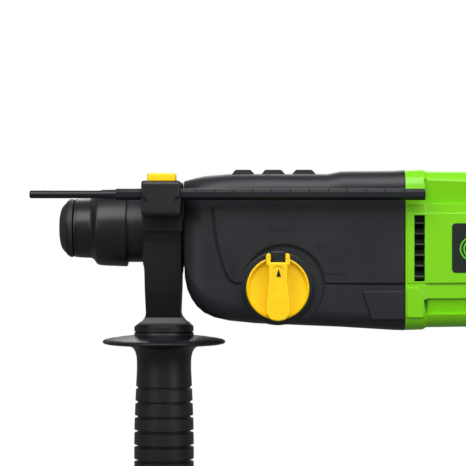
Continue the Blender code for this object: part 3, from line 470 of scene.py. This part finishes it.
def smoothed_node(name, finish, body, width, segments):
    """A copy of a solid part with its flats merged and its edges rounded, which stands for it."""
    source = nodes[name]
    made = bpy.data.objects.new(name + "_finished", source.data.copy())
    bpy.context.scene.collection.objects.link(made)
    deselect()
    made.select_set(True)
    bpy.context.view_layer.objects.active = made
    bpy.ops.object.mode_set(mode="EDIT")
    bpy.ops.mesh.select_all(action="SELECT")
    bpy.ops.mesh.remove_doubles(threshold=1e-6)
    bpy.ops.mesh.dissolve_limited(angle_limit=math.radians(2))
    bpy.ops.object.mode_set(mode="OBJECT")
    eased(made, width, segments, 30)
    return finished(made, finish, body, [name], 40)


def points_of(*flat):
    """Pairs in millimetres as points in metres."""
    return [(a * MM, b * MM) for a, b in zip(flat[::2], flat[1::2])]


def sections_of(*flat):
    """Loft sections: X in millimetres, then half width, bottom, top and corner radius."""
    return [tuple(v * MM for v in flat[i:i + 5]) for i in range(0, len(flat), 5)]


# ---- Chuck -------------------------------------------------------------------------------------

cap = turned("dust_cap_lip", points_of(
    -43.3, 5.5, -47.0, 5.5, -47.3, 5.8, -47.35, 6.6, -47.0, 8.6, -46.4, 10.7, -45.4, 12.3,
    -43.9, 13.8, -43.2, 14.8, -43.0, 15.1, -42.8, 15.1, -42.7, 14.6, -42.4, 14.6, -42.3, 15.4,
    -42.1, 15.8, -41.2, 16.0, -39.9, 16.0, -39.6, 15.8, -39.5, 9.8, -39.7, 8.3, -43.3, 8.3))
finished(cap, rubber_grey, "spindle", ["dust_cap"])

sleeve = turned("chuck_sleeve_shell", points_of(
    -39.2, 9.9, -39.2, 15.3, -38.9, 15.9, -38.5, 16.1, -37.8, 16.15, -37.7, 15.9, -37.3, 15.9,
    -37.2, 16.2, -34, 16.4, -30.6, 16.5, -29.9, 16.6, -29.2, 16.9, -28.4, 17.6, -27.6, 18.7,
    -26.9, 19.7, -26.2, 20.2, -25.2, 20.5, -22, 20.8, -16, 21.0, -11.2, 21.2, -10.5, 21.2,
    -10.1, 21.0, -9.9, 20.6, -9.9, 19.4, -20.5, 19.0, -20.5, 15.0, -14.5, 15.0, -14.5, 10.6,
    -18, 10.6, -27.4, 13.2, -27.4, 9.9))
finished(sleeve, nylon_sleeve, "chuck_sleeve", ["locking_sleeve"])

# ---- Side handle -------------------------------------------------------------------------------

HANDLE_X = 0.0100
AXLE = (HANDLE_X, 0, 0)
ROD = (-0.0455, 0.0177)  # Y and Z of the depth rod's middle
grip = turned("side_grip", points_of(
    -57.3, 4.3, -57.3, 15.6, -57.6, 16.2, -58.2, 16.4, -58.9, 16.4, -59.2, 16.7, -59.4, 18.5,
    -60.0, 24, -60.9, 30, -61.5, 32.6, -62.0, 33.5, -62.6, 33.9, -63.2, 33.8, -63.7, 33.2,
    -64.1, 31.5, -64.5, 27, -64.8, 21, -65.3, 18.6, -66.4, 17.0, -68.2, 15.9, -71, 15.2, -74, 15.0,
    -78, 15.0, -84, 15.3, -95, 15.8, -108, 16.3, -120, 16.5, -135, 16.4, -150, 15.9, -160, 15.4,
    -165, 15.2, -166.5, 15.4, -168, 16.4, -170, 16.9, -174, 17.0, -176.5, 16.8, -177.6, 16.2,
    -178, 15.2, -178, 0, -97, 0, -97, 4.3, -91.4, 4.3, -91.4, 7.7, -83.8, 7.7,
    -83.8, 4.3), "Z", AXLE)
for i in range(9):
    z = (-88 - 8 * i) * MM
    carve(grip, turned("grip_groove", [
        (z - 0.0009, 0.0172), (z - 0.0009, 0.0150), (z - 0.0004, 0.0146), (z + 0.0004, 0.0146),
        (z + 0.0009, 0.0150), (z + 0.0009, 0.0172)], "Z", AXLE, 48))
finished(grip, nylon_sleeve, "grip", ["handle_grip"])

clamp = turned("clamp_collar", points_of(
    -0.6, 23.2, -0.6, 24.8, -0.2, 25.3, 0.4, 25.4, 19.6, 25.4, 20.2, 25.3, 20.6, 24.8, 20.6, 23.2))
head = slab("rod_block", fillets([
    (-0.0502, 0.0060, 0.0025), (-0.0150, 0.0060, 0), (-0.0150, 0.0250, 0),
    (-0.0502, 0.0250, 0.0022),
]), "YZ", -0.0004, 0.0204)
eased(head, 0.0014, 3)
cheek = slab("cheek", fillets([
    (-0.0006, 0.0300, 0), (0.0206, 0.0300, 0), (0.0206, -0.0022, 0.0012),
    (-0.0006, -0.0022, 0.0012),
]), "XZ", -0.0286, -0.0150)
carve(cheek, slab("cheek_top", points_of(-60, 8, -10, 25.4, -10, 60, -60, 60), "YZ", -0.02, 0.04))
eased(cheek, 0.0008, 2)
yoke = slab("yoke", fillets([
    (-0.0002, 0.0, 0), (0.0002, -0.0337, 0.004), (0.0006, -0.0480, 0.006),
    (-0.0018, -0.0512, 0.004), (-0.0063, -0.0543, 0.0008), (-0.0063, -0.0569, 0.0004),
    (0.0263, -0.0569, 0.0004), (0.0263, -0.0543, 0.0008), (0.0218, -0.0512, 0.004),
    (0.0194, -0.0480, 0.006), (0.0198, -0.0337, 0.004), (0.0202, 0.0, 0),
], 5), "XZ", -0.0252, 0.0252)
for side in (-1, 1):
    carve(yoke, slab("yoke_side", [
        (side * 0.0252, 0.01), (side * 0.0235, -0.0200), (side * 0.0200, -0.0337),
        (side * 0.0128, -0.0490), (side * 0.0142, -0.0520), (side * 0.0165, -0.0545),
        (side * 0.0165, -0.0600), (side * 0.05, -0.0600), (side * 0.05, 0.01)], "YZ", -0.02, 0.04))
carve(yoke, turned("disc_edge", [(-0.0530, 0.0166), (-0.0530, 0.0400), (-0.0600, 0.0400),
                                 (-0.0600, 0.0166)], "Z", AXLE))
eased(yoke, 0.0004, 2, 30)
for part in (head, cheek, yoke):
    carve(part, turned("neck_hole", [(-0.02, 0), (-0.02, 0.0233), (0.04, 0.0233), (0.04, 0)]))
lug_room = [box("lug_room", (0.0037, -0.0083, -0.0344), (0.0163, 0.0083, -0.0150))
            for _ in range(2)]
carve(clamp, lug_room[0])
carve(yoke, lug_room[1],
      turned("bolt_hole", [(-0.06, 0), (-0.06, 0.0043), (-0.03, 0.0043), (-0.03, 0)],
             "Z", AXLE, 32))
carve(head,
      slab("rod_hole", arc(ROD, 0.00358, 30, 330, 5), "YZ", -0.02, 0.04),
      box("button_room", (0.0024, -0.0492, 0.0214), (0.0182, -0.0327, 0.0300)),
      box("button_well", (0.0064, -0.0404, 0.0105), (0.0142, -0.0351, 0.0220)))
for x in (-0.0010, 0.0210):
    sign = 1 if x < 0.01 else -1
    carve(head, slab("notch", [(x, 0.0172), (x, 0.0118), (x + sign * 0.0042, 0.0140),
                               (x + sign * 0.0030, 0.0160)], "XZ", -0.06, -0.0488))
finished(clamp, nylon_sleeve, "clamp", ["clamp_head"])
for part in (head, cheek, yoke):
    finished(part, nylon_sleeve, "clamp")

button = box("stop_button", (0.0027, -0.0489, 0.0242), (0.0179, -0.0330, 0.0290), 0.0013, 4)
weld(button, box("button_stem", (0.0067, -0.0401, 0.0135), (0.0139, -0.0354, 0.0250)))
finished(button, nylon_yellow, "depth_button", ["depth_button"])

rod = slab("depth_gauge_bar", arc(ROD, 0.003175, 30, 330, 5), "YZ", -0.0140, 0.1499)
eased(rod, 0.00035, 2)
tip = turned("bar_tip", points_of(
    -59.6, 0, -59.6, 1.5, -59.3, 1.9, -58.8, 2.1, -22.5, 2.1, -21, 2.5, -14.4, 2.6, -13.0, 2.6,
    -13.0, 0), "X", (0, *ROD), 32)
weld(rod, tip)
finished(rod, steel_black, "depth_rod", ["depth_rod"])
# Centimetre lines, printed on the two facets that face out.
lines = []
for i in range(14):
    x = 0.0085 + 0.01 * i
    corners = [around(ROD, 0.003205, turn) for turn in (118, 150, 186)]
    corners += [around(ROD, 0.0028, turn) for turn in (186, 150, 118)]
    lines.append(slab("depth_line", corners, "YZ", x - 0.0004, x + 0.0004))
deselect()
for line in lines:
    line.select_set(True)
bpy.context.view_layer.objects.active = lines[0]
bpy.ops.object.join()
finished(lines[0], void_black, "depth_rod")

# ---- Gearbox casing ----------------------------------------------------------------------------

KNOB = Vector((0.0719, 0, -0.0322))
RING = (0.0753, -0.0308)  # middle of the recess round the mode selector
RING_RADIUS = 0.0222
SIDE = 0.0362  # half width of the casing
BEYOND = 0.06  # a half width clear of every side face, where cutters start
GROOVE_DEPTH = 0.0014
RECESS_DEPTH = 0.0016
casing = lofted("gear_casing", sections_of(
    21.5, 28.5, -19.0, 25.4, 12, 22.0, 29.3, -27.5, 25.6, 13, 23.3, 30.8, -33.5, 25.9, 13,
    25.5, 32.6, -38.2, 26.4, 12.5, 28.5, 34.2, -42.4, 27.1, 12, 32.5, 35.4, -45.8, 27.9, 11.5,
    38.0, 36.0, -48.3, 28.5, 11, 46.0, 36.2, -50.0, 29.0, 10, 60.0, 36.2, -51.4, 29.1, 9,
    99.0, 36.2, -53.0, 29.1, 9, 106.0, 36.2, -53.3, 30.5, 9, 134.0, 36.2, -55.0, 30.8, 9,
    140.0, 36.0, -55.2, 31.2, 9))
weld(casing, turned("casing_neck", points_of(
    -11, 0, -11, 18.5, -10.7, 18.8, -1.3, 18.8, -1.3, 20.9, -0.8, 21.4, 24, 21.4, 24, 0)))
for start, end in ((0.0468, 0.0605), (0.0628, 0.0770), (0.0794, 0.0936)):
    ridge = slab("grip_ridge", fillets([
        (start, 0.0270, 0), (start + 0.0006, 0.0288, 0.001), (start + 0.0026, 0.0314, 0.0015),
        (end - 0.0030, 0.0314, 0.0015), (end - 0.0006, 0.0288, 0.001), (end, 0.0270, 0),
    ], 3), "XZ", -0.0310, 0.0310)
    eased(ridge, 0.0035, 4, 60)
    for side in (-1, 1):
        carve(ridge, slab("ridge_side", [(side * 0.0240, 0.0330), (side * 0.0320, 0.0255),
                                         (side * 0.05, 0.0255), (side * 0.05, 0.0330)], "YZ", 0,
                                         0.2))
    eased(ridge, 0.0010, 2, 40)
    weld(casing, ridge)


def panel_outline(spare, with_ring):
    """The raised side panel, grown by spare along its grooved edges."""
    if with_ring:
        low = arc(RING, RING_RADIUS, 3 - spare * 900, 176 + spare * 900, 28)
    else:
        low = [(0.0980, -0.0296 - spare)]
    rear = 0.1410 if spare else 0.1398
    outline = [(0.0379 - spare, 0.0110), (rear, 0.0110), (rear, -0.0296 - spare)] + low
    return outline + [(0.0500 - spare * 0.7, -0.0296 - spare),
                      (0.0468 - spare, -0.0276 - spare * 0.7), (0.0452 - spare, -0.0256),
                      (0.0430 - spare, -0.0200), (0.0411 - spare, -0.0128),
                      (0.0396 - spare, -0.0060), (0.0386 - spare, 0.0008)]


def pocket(outline, side, floor):
    """A cutter that reaches in from a side face to a half width."""
    low, high = layer(side, floor, BEYOND)
    return slab("pocket", outline, "XZ", low, high)


for side in (-1, 1):
    carve(casing, pocket(panel_outline(0.0015, side < 0), side, SIDE - GROOVE_DEPTH))
carve(casing, turned("ring_recess", [(-BEYOND, 0), (-BEYOND, RING_RADIUS),
                                     (-SIDE + RECESS_DEPTH, RING_RADIUS - 0.0004),
                                     (-SIDE + RECESS_DEPTH, 0)], "Y", (RING[0], 0, RING[1])))
# Inside: the bores and the open rear, the same as in the solid part.
carve(casing,
      turned("seal_bore", points_of(-1, 0, -1, 18.4, 34, 18.4, 34, 0)),
      turned("nose_bore", points_of(-20, 0, -20, 15.6, 0, 15.6, 0, 0)),
      turned("bush_bore", points_of(33, 0, 33, 19.8, 57, 19.8, 57, 0)),
      turned("lay_bore", points_of(42, 0, 42, 8.1, 57, 8.1, 57, 0), "X", (0, 0, -0.03)),
      box("rear_room", (0.0560, -0.0325, -0.0480), (0.1500, 0.0325, 0.0260), 0.006, 3),
      turned("knob_bore", points_of(-60, 0, -60, 10.4, -20, 10.4, -20, 0), "Y", KNOB, 48))
finished(casing, nylon_black, "housing", ["gearbox_housing"], 30)

for side, label in SIDES:
    low, high = layer(side, SIDE - 0.0018, SIDE + 0.0005)
    panel = slab(label + "_side_panel", panel_outline(0, side < 0), "XZ", low, high)
    eased(panel, 0.0005, 2, 40)
    finished(panel, nylon_black, "housing")
    boss = slab(label + "_screw_boss", fillets([
        (0.1172, -0.0338, 0.0008), (0.1396, -0.0338, 0.0006), (0.1396, -0.0490, 0.0006),
        (0.1222, -0.0490, 0.0010),
    ], 3), "XZ", *layer(side, SIDE - 0.004, SIDE + 0.0011))
    eased(boss, 0.0008, 3, 50)
    finished(boss, nylon_black, "housing")
    upper = slab(label + "_upper_boss", fillets([
        (0.1200, 0.0288, 0.0030), (0.1185, 0.0120, 0.0010), (0.1396, 0.0120, 0.0006),
        (0.1396, 0.0290, 0.0010),
    ], 4), "XZ", *layer(side, 0.0280, SIDE - 0.0002))
    carve(upper, slab("upper_slope", [(side * 0.0290, 0.0310), (side * 0.0366, 0.0190),
                                      (side * 0.05, 0.0190), (side * 0.05, 0.0310)], "YZ", 0, 0.2))
    eased(upper, 0.0010, 3, 40)
    finished(upper, nylon_black, "housing")

seat = turned("selector_seat", [
    (-0.0340, 0.0106), (-0.0340, 0.0200), (-0.0366, 0.0196), (-0.0372, 0.0188), (-0.0392, 0.0184),
    (-0.0392, 0.0106)], "Y", KNOB)
finished(seat, nylon_black, "housing")

# Embossed marks round the selector: a hammer, a drill bit, both, and a chisel, each a simple sign.
MARKS = {
    "mark_drill": (158, 0.0262, [(-0.0002, -0.0034, 0.0006, 0.0034),
                                 (-0.0016, 0.0020, 0.0018, 0.0026),
                                 (-0.0014, 0.0002, 0.0016, 0.0008),
                                 (-0.0010, -0.0016, 0.0012, -0.0010)]),
    "mark_drill_hammer": (90, 0.0312, [(-0.0046, -0.0026, -0.0040, 0.0026),
                                       (-0.0056, 0.0006, -0.0030, 0.0011),
                                       (0.0004, -0.0004, 0.0052, 0.0010),
                                       (0.0022, -0.0034, 0.0029, -0.0004),
                                       (-0.0016, -0.0002, -0.0006, 0.0006)]),
    "mark_chisel_turn": (44, 0.0318, [(-0.0032, -0.0002, 0.0032, 0.0004),
                                      (-0.0004, -0.0034, 0.0003, 0.0030),
                                      (-0.0020, 0.0012, 0.0020, 0.0017)]),
    "mark_chisel": (14, 0.0330, [(-0.0050, -0.0003, 0.0030, 0.0003),
                                 (0.0030, -0.0014, 0.0042, 0.0014),
                                 (-0.0066, 0.0001, -0.0050, 0.0014)]),
}
for name, (angle, reach, bars) in MARKS.items():
    x, z = around((KNOB.x, KNOB.z), reach, angle)
    mark = None
    for left, low, right, high in bars:
        bar = box(name, (x + left, -SIDE - 0.0009, z + low), (x + right, -SIDE - 0.0003, z + high))
        mark = weld(mark, bar) if mark else bar
    finished(mark, nylon_black, "housing")

# ---- Mode selector -----------------------------------------------------------------------------

dial = turned("selector_dial", [
    (-0.0396, 0), (-0.0396, 0.0164), (-0.0400, 0.0168), (-0.0432, 0.0168), (-0.0438, 0.0166),
    (-0.0442, 0.0160), (-0.0434, 0.0154), (-0.0425, 0.0148), (-0.0422, 0.0140), (-0.0422, 0)], "Y",
    KNOB)


def on_dial(*flat):
    """Corners in millimetres from the selector's middle, with a fillet radius each."""
    return [(KNOB.x + a * MM, KNOB.z + b * MM, r * MM) for a, b,
            r in zip(flat[::3], flat[1::3], flat[2::3])]


bar = slab("selector_bar", fillets(on_dial(
    -5.2, 14.0, 0.8, -5.0, 4.0, 14, -6.6, -9.0, 8, -6.4, -13.5, 3, -3.8, -16.4, 2, 0, -17.2, 6,
    3.8, -16.4, 2, 6.4, -13.5, 3, 6.6, -9.0, 8, 5.0, 4.0, 14, 5.2, 14.0, 0.8), 5), "XZ", -0.0512,
    -0.0400)
eased(bar, 0.0012, 4, 60)
prongs = [slab("selector_prong", fillets(on_dial(
    side * 3.9, 12.0, 0, side * 6.2, 12.0, 0, side * 6.4, 17.6, 0.8, side * 5.2, 19.0, 0.9,
    side * 3.9, 18.2, 0.6), 4), "XZ", -0.0505, -0.0420) for side in (-1, 1)]
for prong in prongs:
    eased(prong, 0.0007, 3, 50)
weld(dial, bar, *prongs)
carve(dial,
      slab("slot", fillets(on_dial(
          -2.9, 12.2, 2.4, -2.9, -3.2, 2.8, 2.9, -3.2, 2.8, 2.9, 12.2, 2.4), 6),
           "XZ", -0.0560, -0.0507),
      box("tab_slot", (KNOB.x - 0.0039, -0.0493, KNOB.z + 0.0095),
          (KNOB.x + 0.0039, -0.0446, KNOB.z + 0.03)),
      box("tab_window", (KNOB.x - 0.0039, -0.06, KNOB.z + 0.0148),
          (KNOB.x + 0.0039, -0.0480, KNOB.z + 0.03)),
      turned("tip_ring", [(-0.0560, 0.0028), (-0.0560, 0.0036), (-0.0510, 0.0036),
                          (-0.0510, 0.0028)], "Y", KNOB + Vector((0.0008, 0, -0.0103)), 48))
weld(dial, turned("stem", points_of(-39.8, 0, -39.8, 10, -31, 10, -31, 0), "Y", KNOB, 48))
finished(dial, nylon_yellow, "mode_selector", ["selector_knob"], 35)
needle = slab("selector_arrow", [(KNOB.x - 0.0009, KNOB.z + 0.0066),
                                 (KNOB.x + 0.0014, KNOB.z + 0.0066),
                                 (KNOB.x + 0.00025, KNOB.z + 0.0104)], "XZ", -0.0513, -0.0506)
finished(needle, void_black, "mode_selector")
tab = box("lock_tab", (KNOB.x - 0.0035, -0.0490, KNOB.z + 0.0120),
          (KNOB.x + 0.0035, -0.0452, KNOB.z + 0.0200), 0.0009, 3)
for i in range(3):
    z = KNOB.z + 0.0155 + 0.0014 * i
    carve(tab, box("tab_groove", (KNOB.x - 0.0030, -0.0500, z),
                   (KNOB.x + 0.0030, -0.0486, z + 0.0007)))
finished(tab, nylon_black, "selector_lock", ["selector_lock_tab"])

# ---- Motor housing and rear handle -------------------------------------------------------------

barrel = lofted("motor_barrel", sections_of(
    140.3, 36.6, -55.1, 31.3, 10, 149.9, 36.9, -54.8, 31.7, 10, 150.7, 36.7, -54.5, 31.6, 10,
    152.4, 36.0, -53.6, 30.9, 10, 180.0, 35.8, -53.3, 30.7, 11, 205.0, 35.3, -52.9, 30.4, 12,
    216.0, 34.3, -51.9, 29.9, 13, 225.0, 32.2, -49.6, 28.9, 14, 230.5, 29.4, -46.6, 27.2, 15,
    234.0, 25.8, -43.0, 24.8, 15))

handle = slab("handle_hoop", fillets([
    (0.2060, -0.1270, 0.004), (0.3292, -0.1270, 0.006), (0.3332, -0.1100, 0.03),
    (0.3315, -0.0600, 0.2), (0.3260, -0.0100, 0.06), (0.3190, 0.0140, 0.02), (0.3060, 0.0238, 0.02),
    (0.2850, 0.0280, 0.03), (0.2100, 0.0295, 0), (0.2100, -0.0400, 0), (0.2042, -0.0560, 0.012),
    (0.2040, -0.0900, 0.02),
], 6), "XZ", -0.0175, 0.0175)
carve(handle, slab("hand_opening", fillets([
    (0.2300, -0.1160, 0.008), (0.2870, -0.1160, 0.008), (0.2875, -0.0600, 0.1),
    (0.2840, -0.0180, 0.006), (0.2780, -0.0120, 0.006), (0.2620, -0.0120, 0.010),
    (0.2400, -0.0480, 0.02), (0.2300, -0.0600, 0.012),
], 6), "XZ", -0.05, 0.05))
eased(handle, 0.0062, 6, 60)
foot = box("handle_foot", (0.2060, -0.0345, -0.1390), (0.3300, 0.0345, -0.1165), 0.0040, 5)
weld(barrel, handle, foot)

# Recesses behind the collar, along the top and the bottom of each side.
for side in (-1, 1):
    for outline, near, deep in (
        ([(0.1497, 0.0262, 0.001), (0.1508, 0.0220, 0.004), (0.1508, 0.0128, 0.0006),
          (0.2120, 0.0128, 0.0006), (0.2120, 0.0262, 0.005)], 0.0350, 0.0325),
        ([(0.1508, -0.0376, 0.0015), (0.1508, -0.0462, 0.0015), (0.2120, -0.0462, 0.003),
          (0.2120, -0.0376, 0.003)], 0.0345, 0.0325),
    ):
        cutter = slab("recess", fillets(outline, 4), "XZ", *layer(side, deep, BEYOND))
        # The recess's floor leans in towards its lower edge.
        high, low = outline[0][1], outline[2][1]
        bpy.ops.object.mode_set(mode="EDIT")
        shape = bmesh.from_edit_mesh(cutter.data)
        for vert in shape.verts:
            if abs(vert.co.y - side * deep) < 1e-5:
                share = max(0, min(1, (vert.co.z - low) / (high - low)))
                vert.co.y = side * (deep + (near - deep) * share)
        bmesh.update_edit_mesh(cutter.data)
        settle(cutter)
        carve(barrel, eased(cutter, 0.0004, 2, 60))
    carve(barrel, slab("lower_notch", fillets([
        (0.1500, -0.0382, 0.0005), (0.1508, -0.0462, 0.0005), (0.1523, -0.0456, 0.0005),
        (0.1523, -0.0384, 0.0005),
    ], 2), "XZ", *layer(side, 0.0315, BEYOND)))
    field = slab("side_field", fillets([
        (0.1410, 0.0083, 0.0010), (0.2100, 0.0078, 0.002), (0.2100, -0.0292, 0.002),
        (0.1410, -0.0300, 0.0010)]), "XZ", *layer(side, 0.0330, 0.0371))
    weld(barrel, eased(field, 0.0007, 3, 60))
    shelf = slab("collar_shelf", fillets([
        (0.1406, 0.0284, 0.0010), (0.1486, 0.0284, 0.0020), (0.1496, 0.0200, 0.002),
        (0.1494, 0.0118, 0.0008), (0.1406, 0.0118, 0.0008)], 4), "XZ", *layer(side, 0.0340, 0.0371))
    carve(shelf, slab("shelf_slope", [(side * 0.0300, 0.0300), (side * 0.0372, 0.0210),
                                      (side * 0.05, 0.0210), (side * 0.05, 0.0300)], "YZ", 0, 0.2))
    weld(barrel, eased(shelf, 0.0006, 2, 60))
    shelf = slab("collar_step", fillets([
        (0.1410, -0.0318, 0.0010), (0.1472, -0.0318, 0.0030), (0.1500, -0.0352, 0.003),
        (0.1498, -0.0480, 0.0010), (0.1410, -0.0480, 0.0010)], 4), "XZ",
        *layer(side, 0.0340, 0.0374))
    weld(barrel, eased(shelf, 0.0006, 2, 60))
    carve(barrel, box("vent_window", *(Vector(c) for c in zip(
        (0.1449, 0.1506), layer(side, 0.0285, BEYOND), (-0.0286, 0.0068)))))
carve(barrel,
      box("motor_room", (0.1300, -0.0298, -0.0470), (0.2240, 0.0298, 0.0250), 0.006, 3),
      box("rail_room", (0.2090, -0.0297, -0.1360), (0.3400, 0.0297, -0.1283)),
      box("rail_mouth", (0.2090, -0.0270, -0.1450), (0.3400, 0.0270, -0.1350)),
      box("latch_hole", (0.3154, -0.0085, -0.1300), (0.3400, 0.0085, -0.1240)),
      box("terminal_hole", (0.2217, -0.0120, -0.1300), (0.2363, 0.0120, -0.1190)),
      box("trigger_hole", (0.2600, -0.0070, -0.0503), (0.2980, 0.0070, -0.0147), 0.001, 2),
      box("slider_hole", (0.2697, -0.0300, -0.0063), (0.2793, 0.0300, 0.0003)))
# The two mouldings meet on the middle plane with a fine line between them.
SEAM = 0.00015
for side, label in SIDES:
    half = bpy.data.objects.new(label + "_motor_shell", barrel.data.copy())
    bpy.context.scene.collection.objects.link(half)
    low, high = layer(side, SEAM, -0.1)
    carve(half, box("other_half", (0.1, low, -0.2), (0.4, high, 0.1)))
    finished(half, abs_green, "housing", [label + "_housing_shell"], 30)
bpy.data.objects.remove(barrel, do_unlink=True)

for side, label in SIDES:
    low, high = layer(side, 0.0295, 0.0305)
    back = box(label + "_vent_back", (0.1450, low, -0.0285), (0.1505, high, 0.0067))
    for i in range(6):
        z = -0.0262 + 0.0057 * i
        blade = slab("vent_blade", [(side * 0.0300, z - 0.0030), (side * 0.0300, z - 0.0018),
                                    (side * 0.0358, z + 0.0006), (side * 0.0362, z)], "YZ", 0.1450,
                                    0.1505)
        weld(back, blade)
    finished(back, nylon_black, "housing", [label + "_vent_grille"], 30)

    # Label: a dark plate with a made-up leaf sign in green.
    low, high = layer(side, 0.0368, 0.03745)
    plate = slab(label + "_label", fillets([
        (0.1650, 0.0025, 0.0020), (0.1650, -0.0240, 0.0020), (0.2040, -0.0240, 0.0020),
        (0.2040, 0.0025, 0.0020)]), "XZ", low, high)
    eased(plate, 0.00025, 2, 60)
    finished(plate, label_dark, "housing", [label + "_label_plate"], 30)
    low, high = layer(side, 0.03742, 0.03752)
    for i in range(4):
        outer, inner = 0.0064 - 0.0015 * i, 0.0056 - 0.0015 * i
        middle = (0.1755 + 0.0004 * i, -0.0112)
        wave = slab(label + "_wave_%d" % i, arc(middle, outer, 95, 265, 16)
                    + arc(middle, inner, 95, 265, 16)[::-1], "XZ", low, high)
        finished(wave, ink_green, "housing", (), 30)
    stripe = slab(label + "_stripe", fillets([
        (0.1860, -0.0100, 0.0004), (0.1860, -0.0116, 0.0004), (0.2010, -0.0116, 0.0004),
        (0.2010, -0.0100, 0.0004)]), "XZ", low, high)
    finished(stripe, ink_pale, "housing", (), 30)

    pad = slab(label + "_grip_cover", fillets([
        (0.2925, -0.1020, 0.003), (0.2980, -0.1060, 0.003), (0.3220, -0.1060, 0.004),
        (0.3272, -0.1010, 0.005), (0.3256, -0.0600, 0.1), (0.3202, -0.0100, 0.03),
        (0.3150, 0.0080, 0.010), (0.3050, 0.0130, 0.006), (0.2970, 0.0080, 0.006),
        (0.2925, -0.0200, 0.02), (0.2945, -0.0600, 0.1)], 5), "XZ", *layer(side, 0.0172, 0.0193))
    eased(pad, 0.0013, 4, 60)
    for i in range(14):
        z = -0.0960 + 0.0066 * i
        carve(pad, slab("pad_groove", [(0.2975, z), (0.2975, z + 0.0012), (0.3175, z + 0.0042),
                                       (0.3175, z + 0.0030)], "XZ", *layer(side, 0.0188, 0.0210)))
    finished(pad, rubber_grip, "housing", [label + "_grip_pad"], 30)

lever = slab("trigger_lever", fillets([
    (0.2905, -0.0152, 0), (0.2720, -0.0152, 0.003), (0.2688, -0.0180, 0.004),
    (0.2667, -0.0300, 0.03), (0.2680, -0.0440, 0.01), (0.2735, -0.0496, 0.003),
    (0.2905, -0.0498, 0)], 6), "XZ", -0.0065, 0.0065)
eased(lever, 0.0020, 4, 50)
finished(lever, nylon_sleeve, "trigger", ["trigger"])
slider = box("direction_button", (0.2700, -0.0205, -0.0060), (0.2790, 0.0205, 0.0), 0.0014, 3)
finished(slider, nylon_sleeve, "direction_slider", ["direction_slider"])

# Handle screws: sunk heads with a six-lobed socket, along the left side.
SCREWS = ((0.2180, 0.0150), (0.2180, -0.0900), (0.3060, 0.0180), (0.3180, -0.1120),
          (0.2480, 0.0200))
for i, (x, z) in enumerate(SCREWS):
    head = turned("handle_screw_%d" % i, points_of(
        -18.1, 0, -18.1, 2.6, -17.9, 3.0, -16.8, 3.1, -16.8, 0), "Y", (x, 0, z), 24)
    carve(head, turned("socket", points_of(
        -19, 0, -19, 1.5, -17.2, 1.5, -17.2, 0), "Y", (x, 0, z), 6))
    finished(head, steel_black, "housing")

# ---- Battery -----------------------------------------------------------------------------------

smoothed_node("battery_lower_case", nylon_black, "battery", 0.0018, 4)
smoothed_node("battery_upper_case", nylon_black, "battery", 0.0007, 3)
smoothed_node("battery_latch", nylon_yellow, "battery_latch", 0.0006, 3)
for side, label in SIDES:
    for i in range(4):
        z = -0.1735 + 0.0038 * i
        low, high = layer(side, 0.0370, 0.0381)
        rib = box("%s_pack_rib_%d" % (label, i), (0.2260, low, z), (0.3260, high, z + 0.0018),
                  0.0004, 2)
        finished(rib, nylon_black, "battery")
    low, high = layer(side, 0.0370, 0.0379)
    band = slab(label + "_pack_band", fillets([
        (0.2320, -0.1420, 0.002), (0.2320, -0.1500, 0.002), (0.3200, -0.1500, 0.002),
        (0.3200, -0.1420, 0.002)]), "XZ", low, high)
    finished(eased(band, 0.0003, 2, 60), label_dark, "battery")

# The springs close up as their joints move: 9.6 mm by 6 mm, and 10.9 mm by 7 mm.
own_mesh(nodes["sleeve_spring"])
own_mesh(nodes["trigger_spring"])

# ---- Floor -------------------------------------------------------------------------------------

bpy.ops.mesh.primitive_plane_add(size=1.0, location=(0.13, -0.17, -0.178))
floor = bpy.context.object
floor.scale = (1.5, 1.1, 1)
floor.name = "studio_floor"
floor.data.materials.append(floor_pale)
floor.visible_glossy = floor.visible_diffuse = False
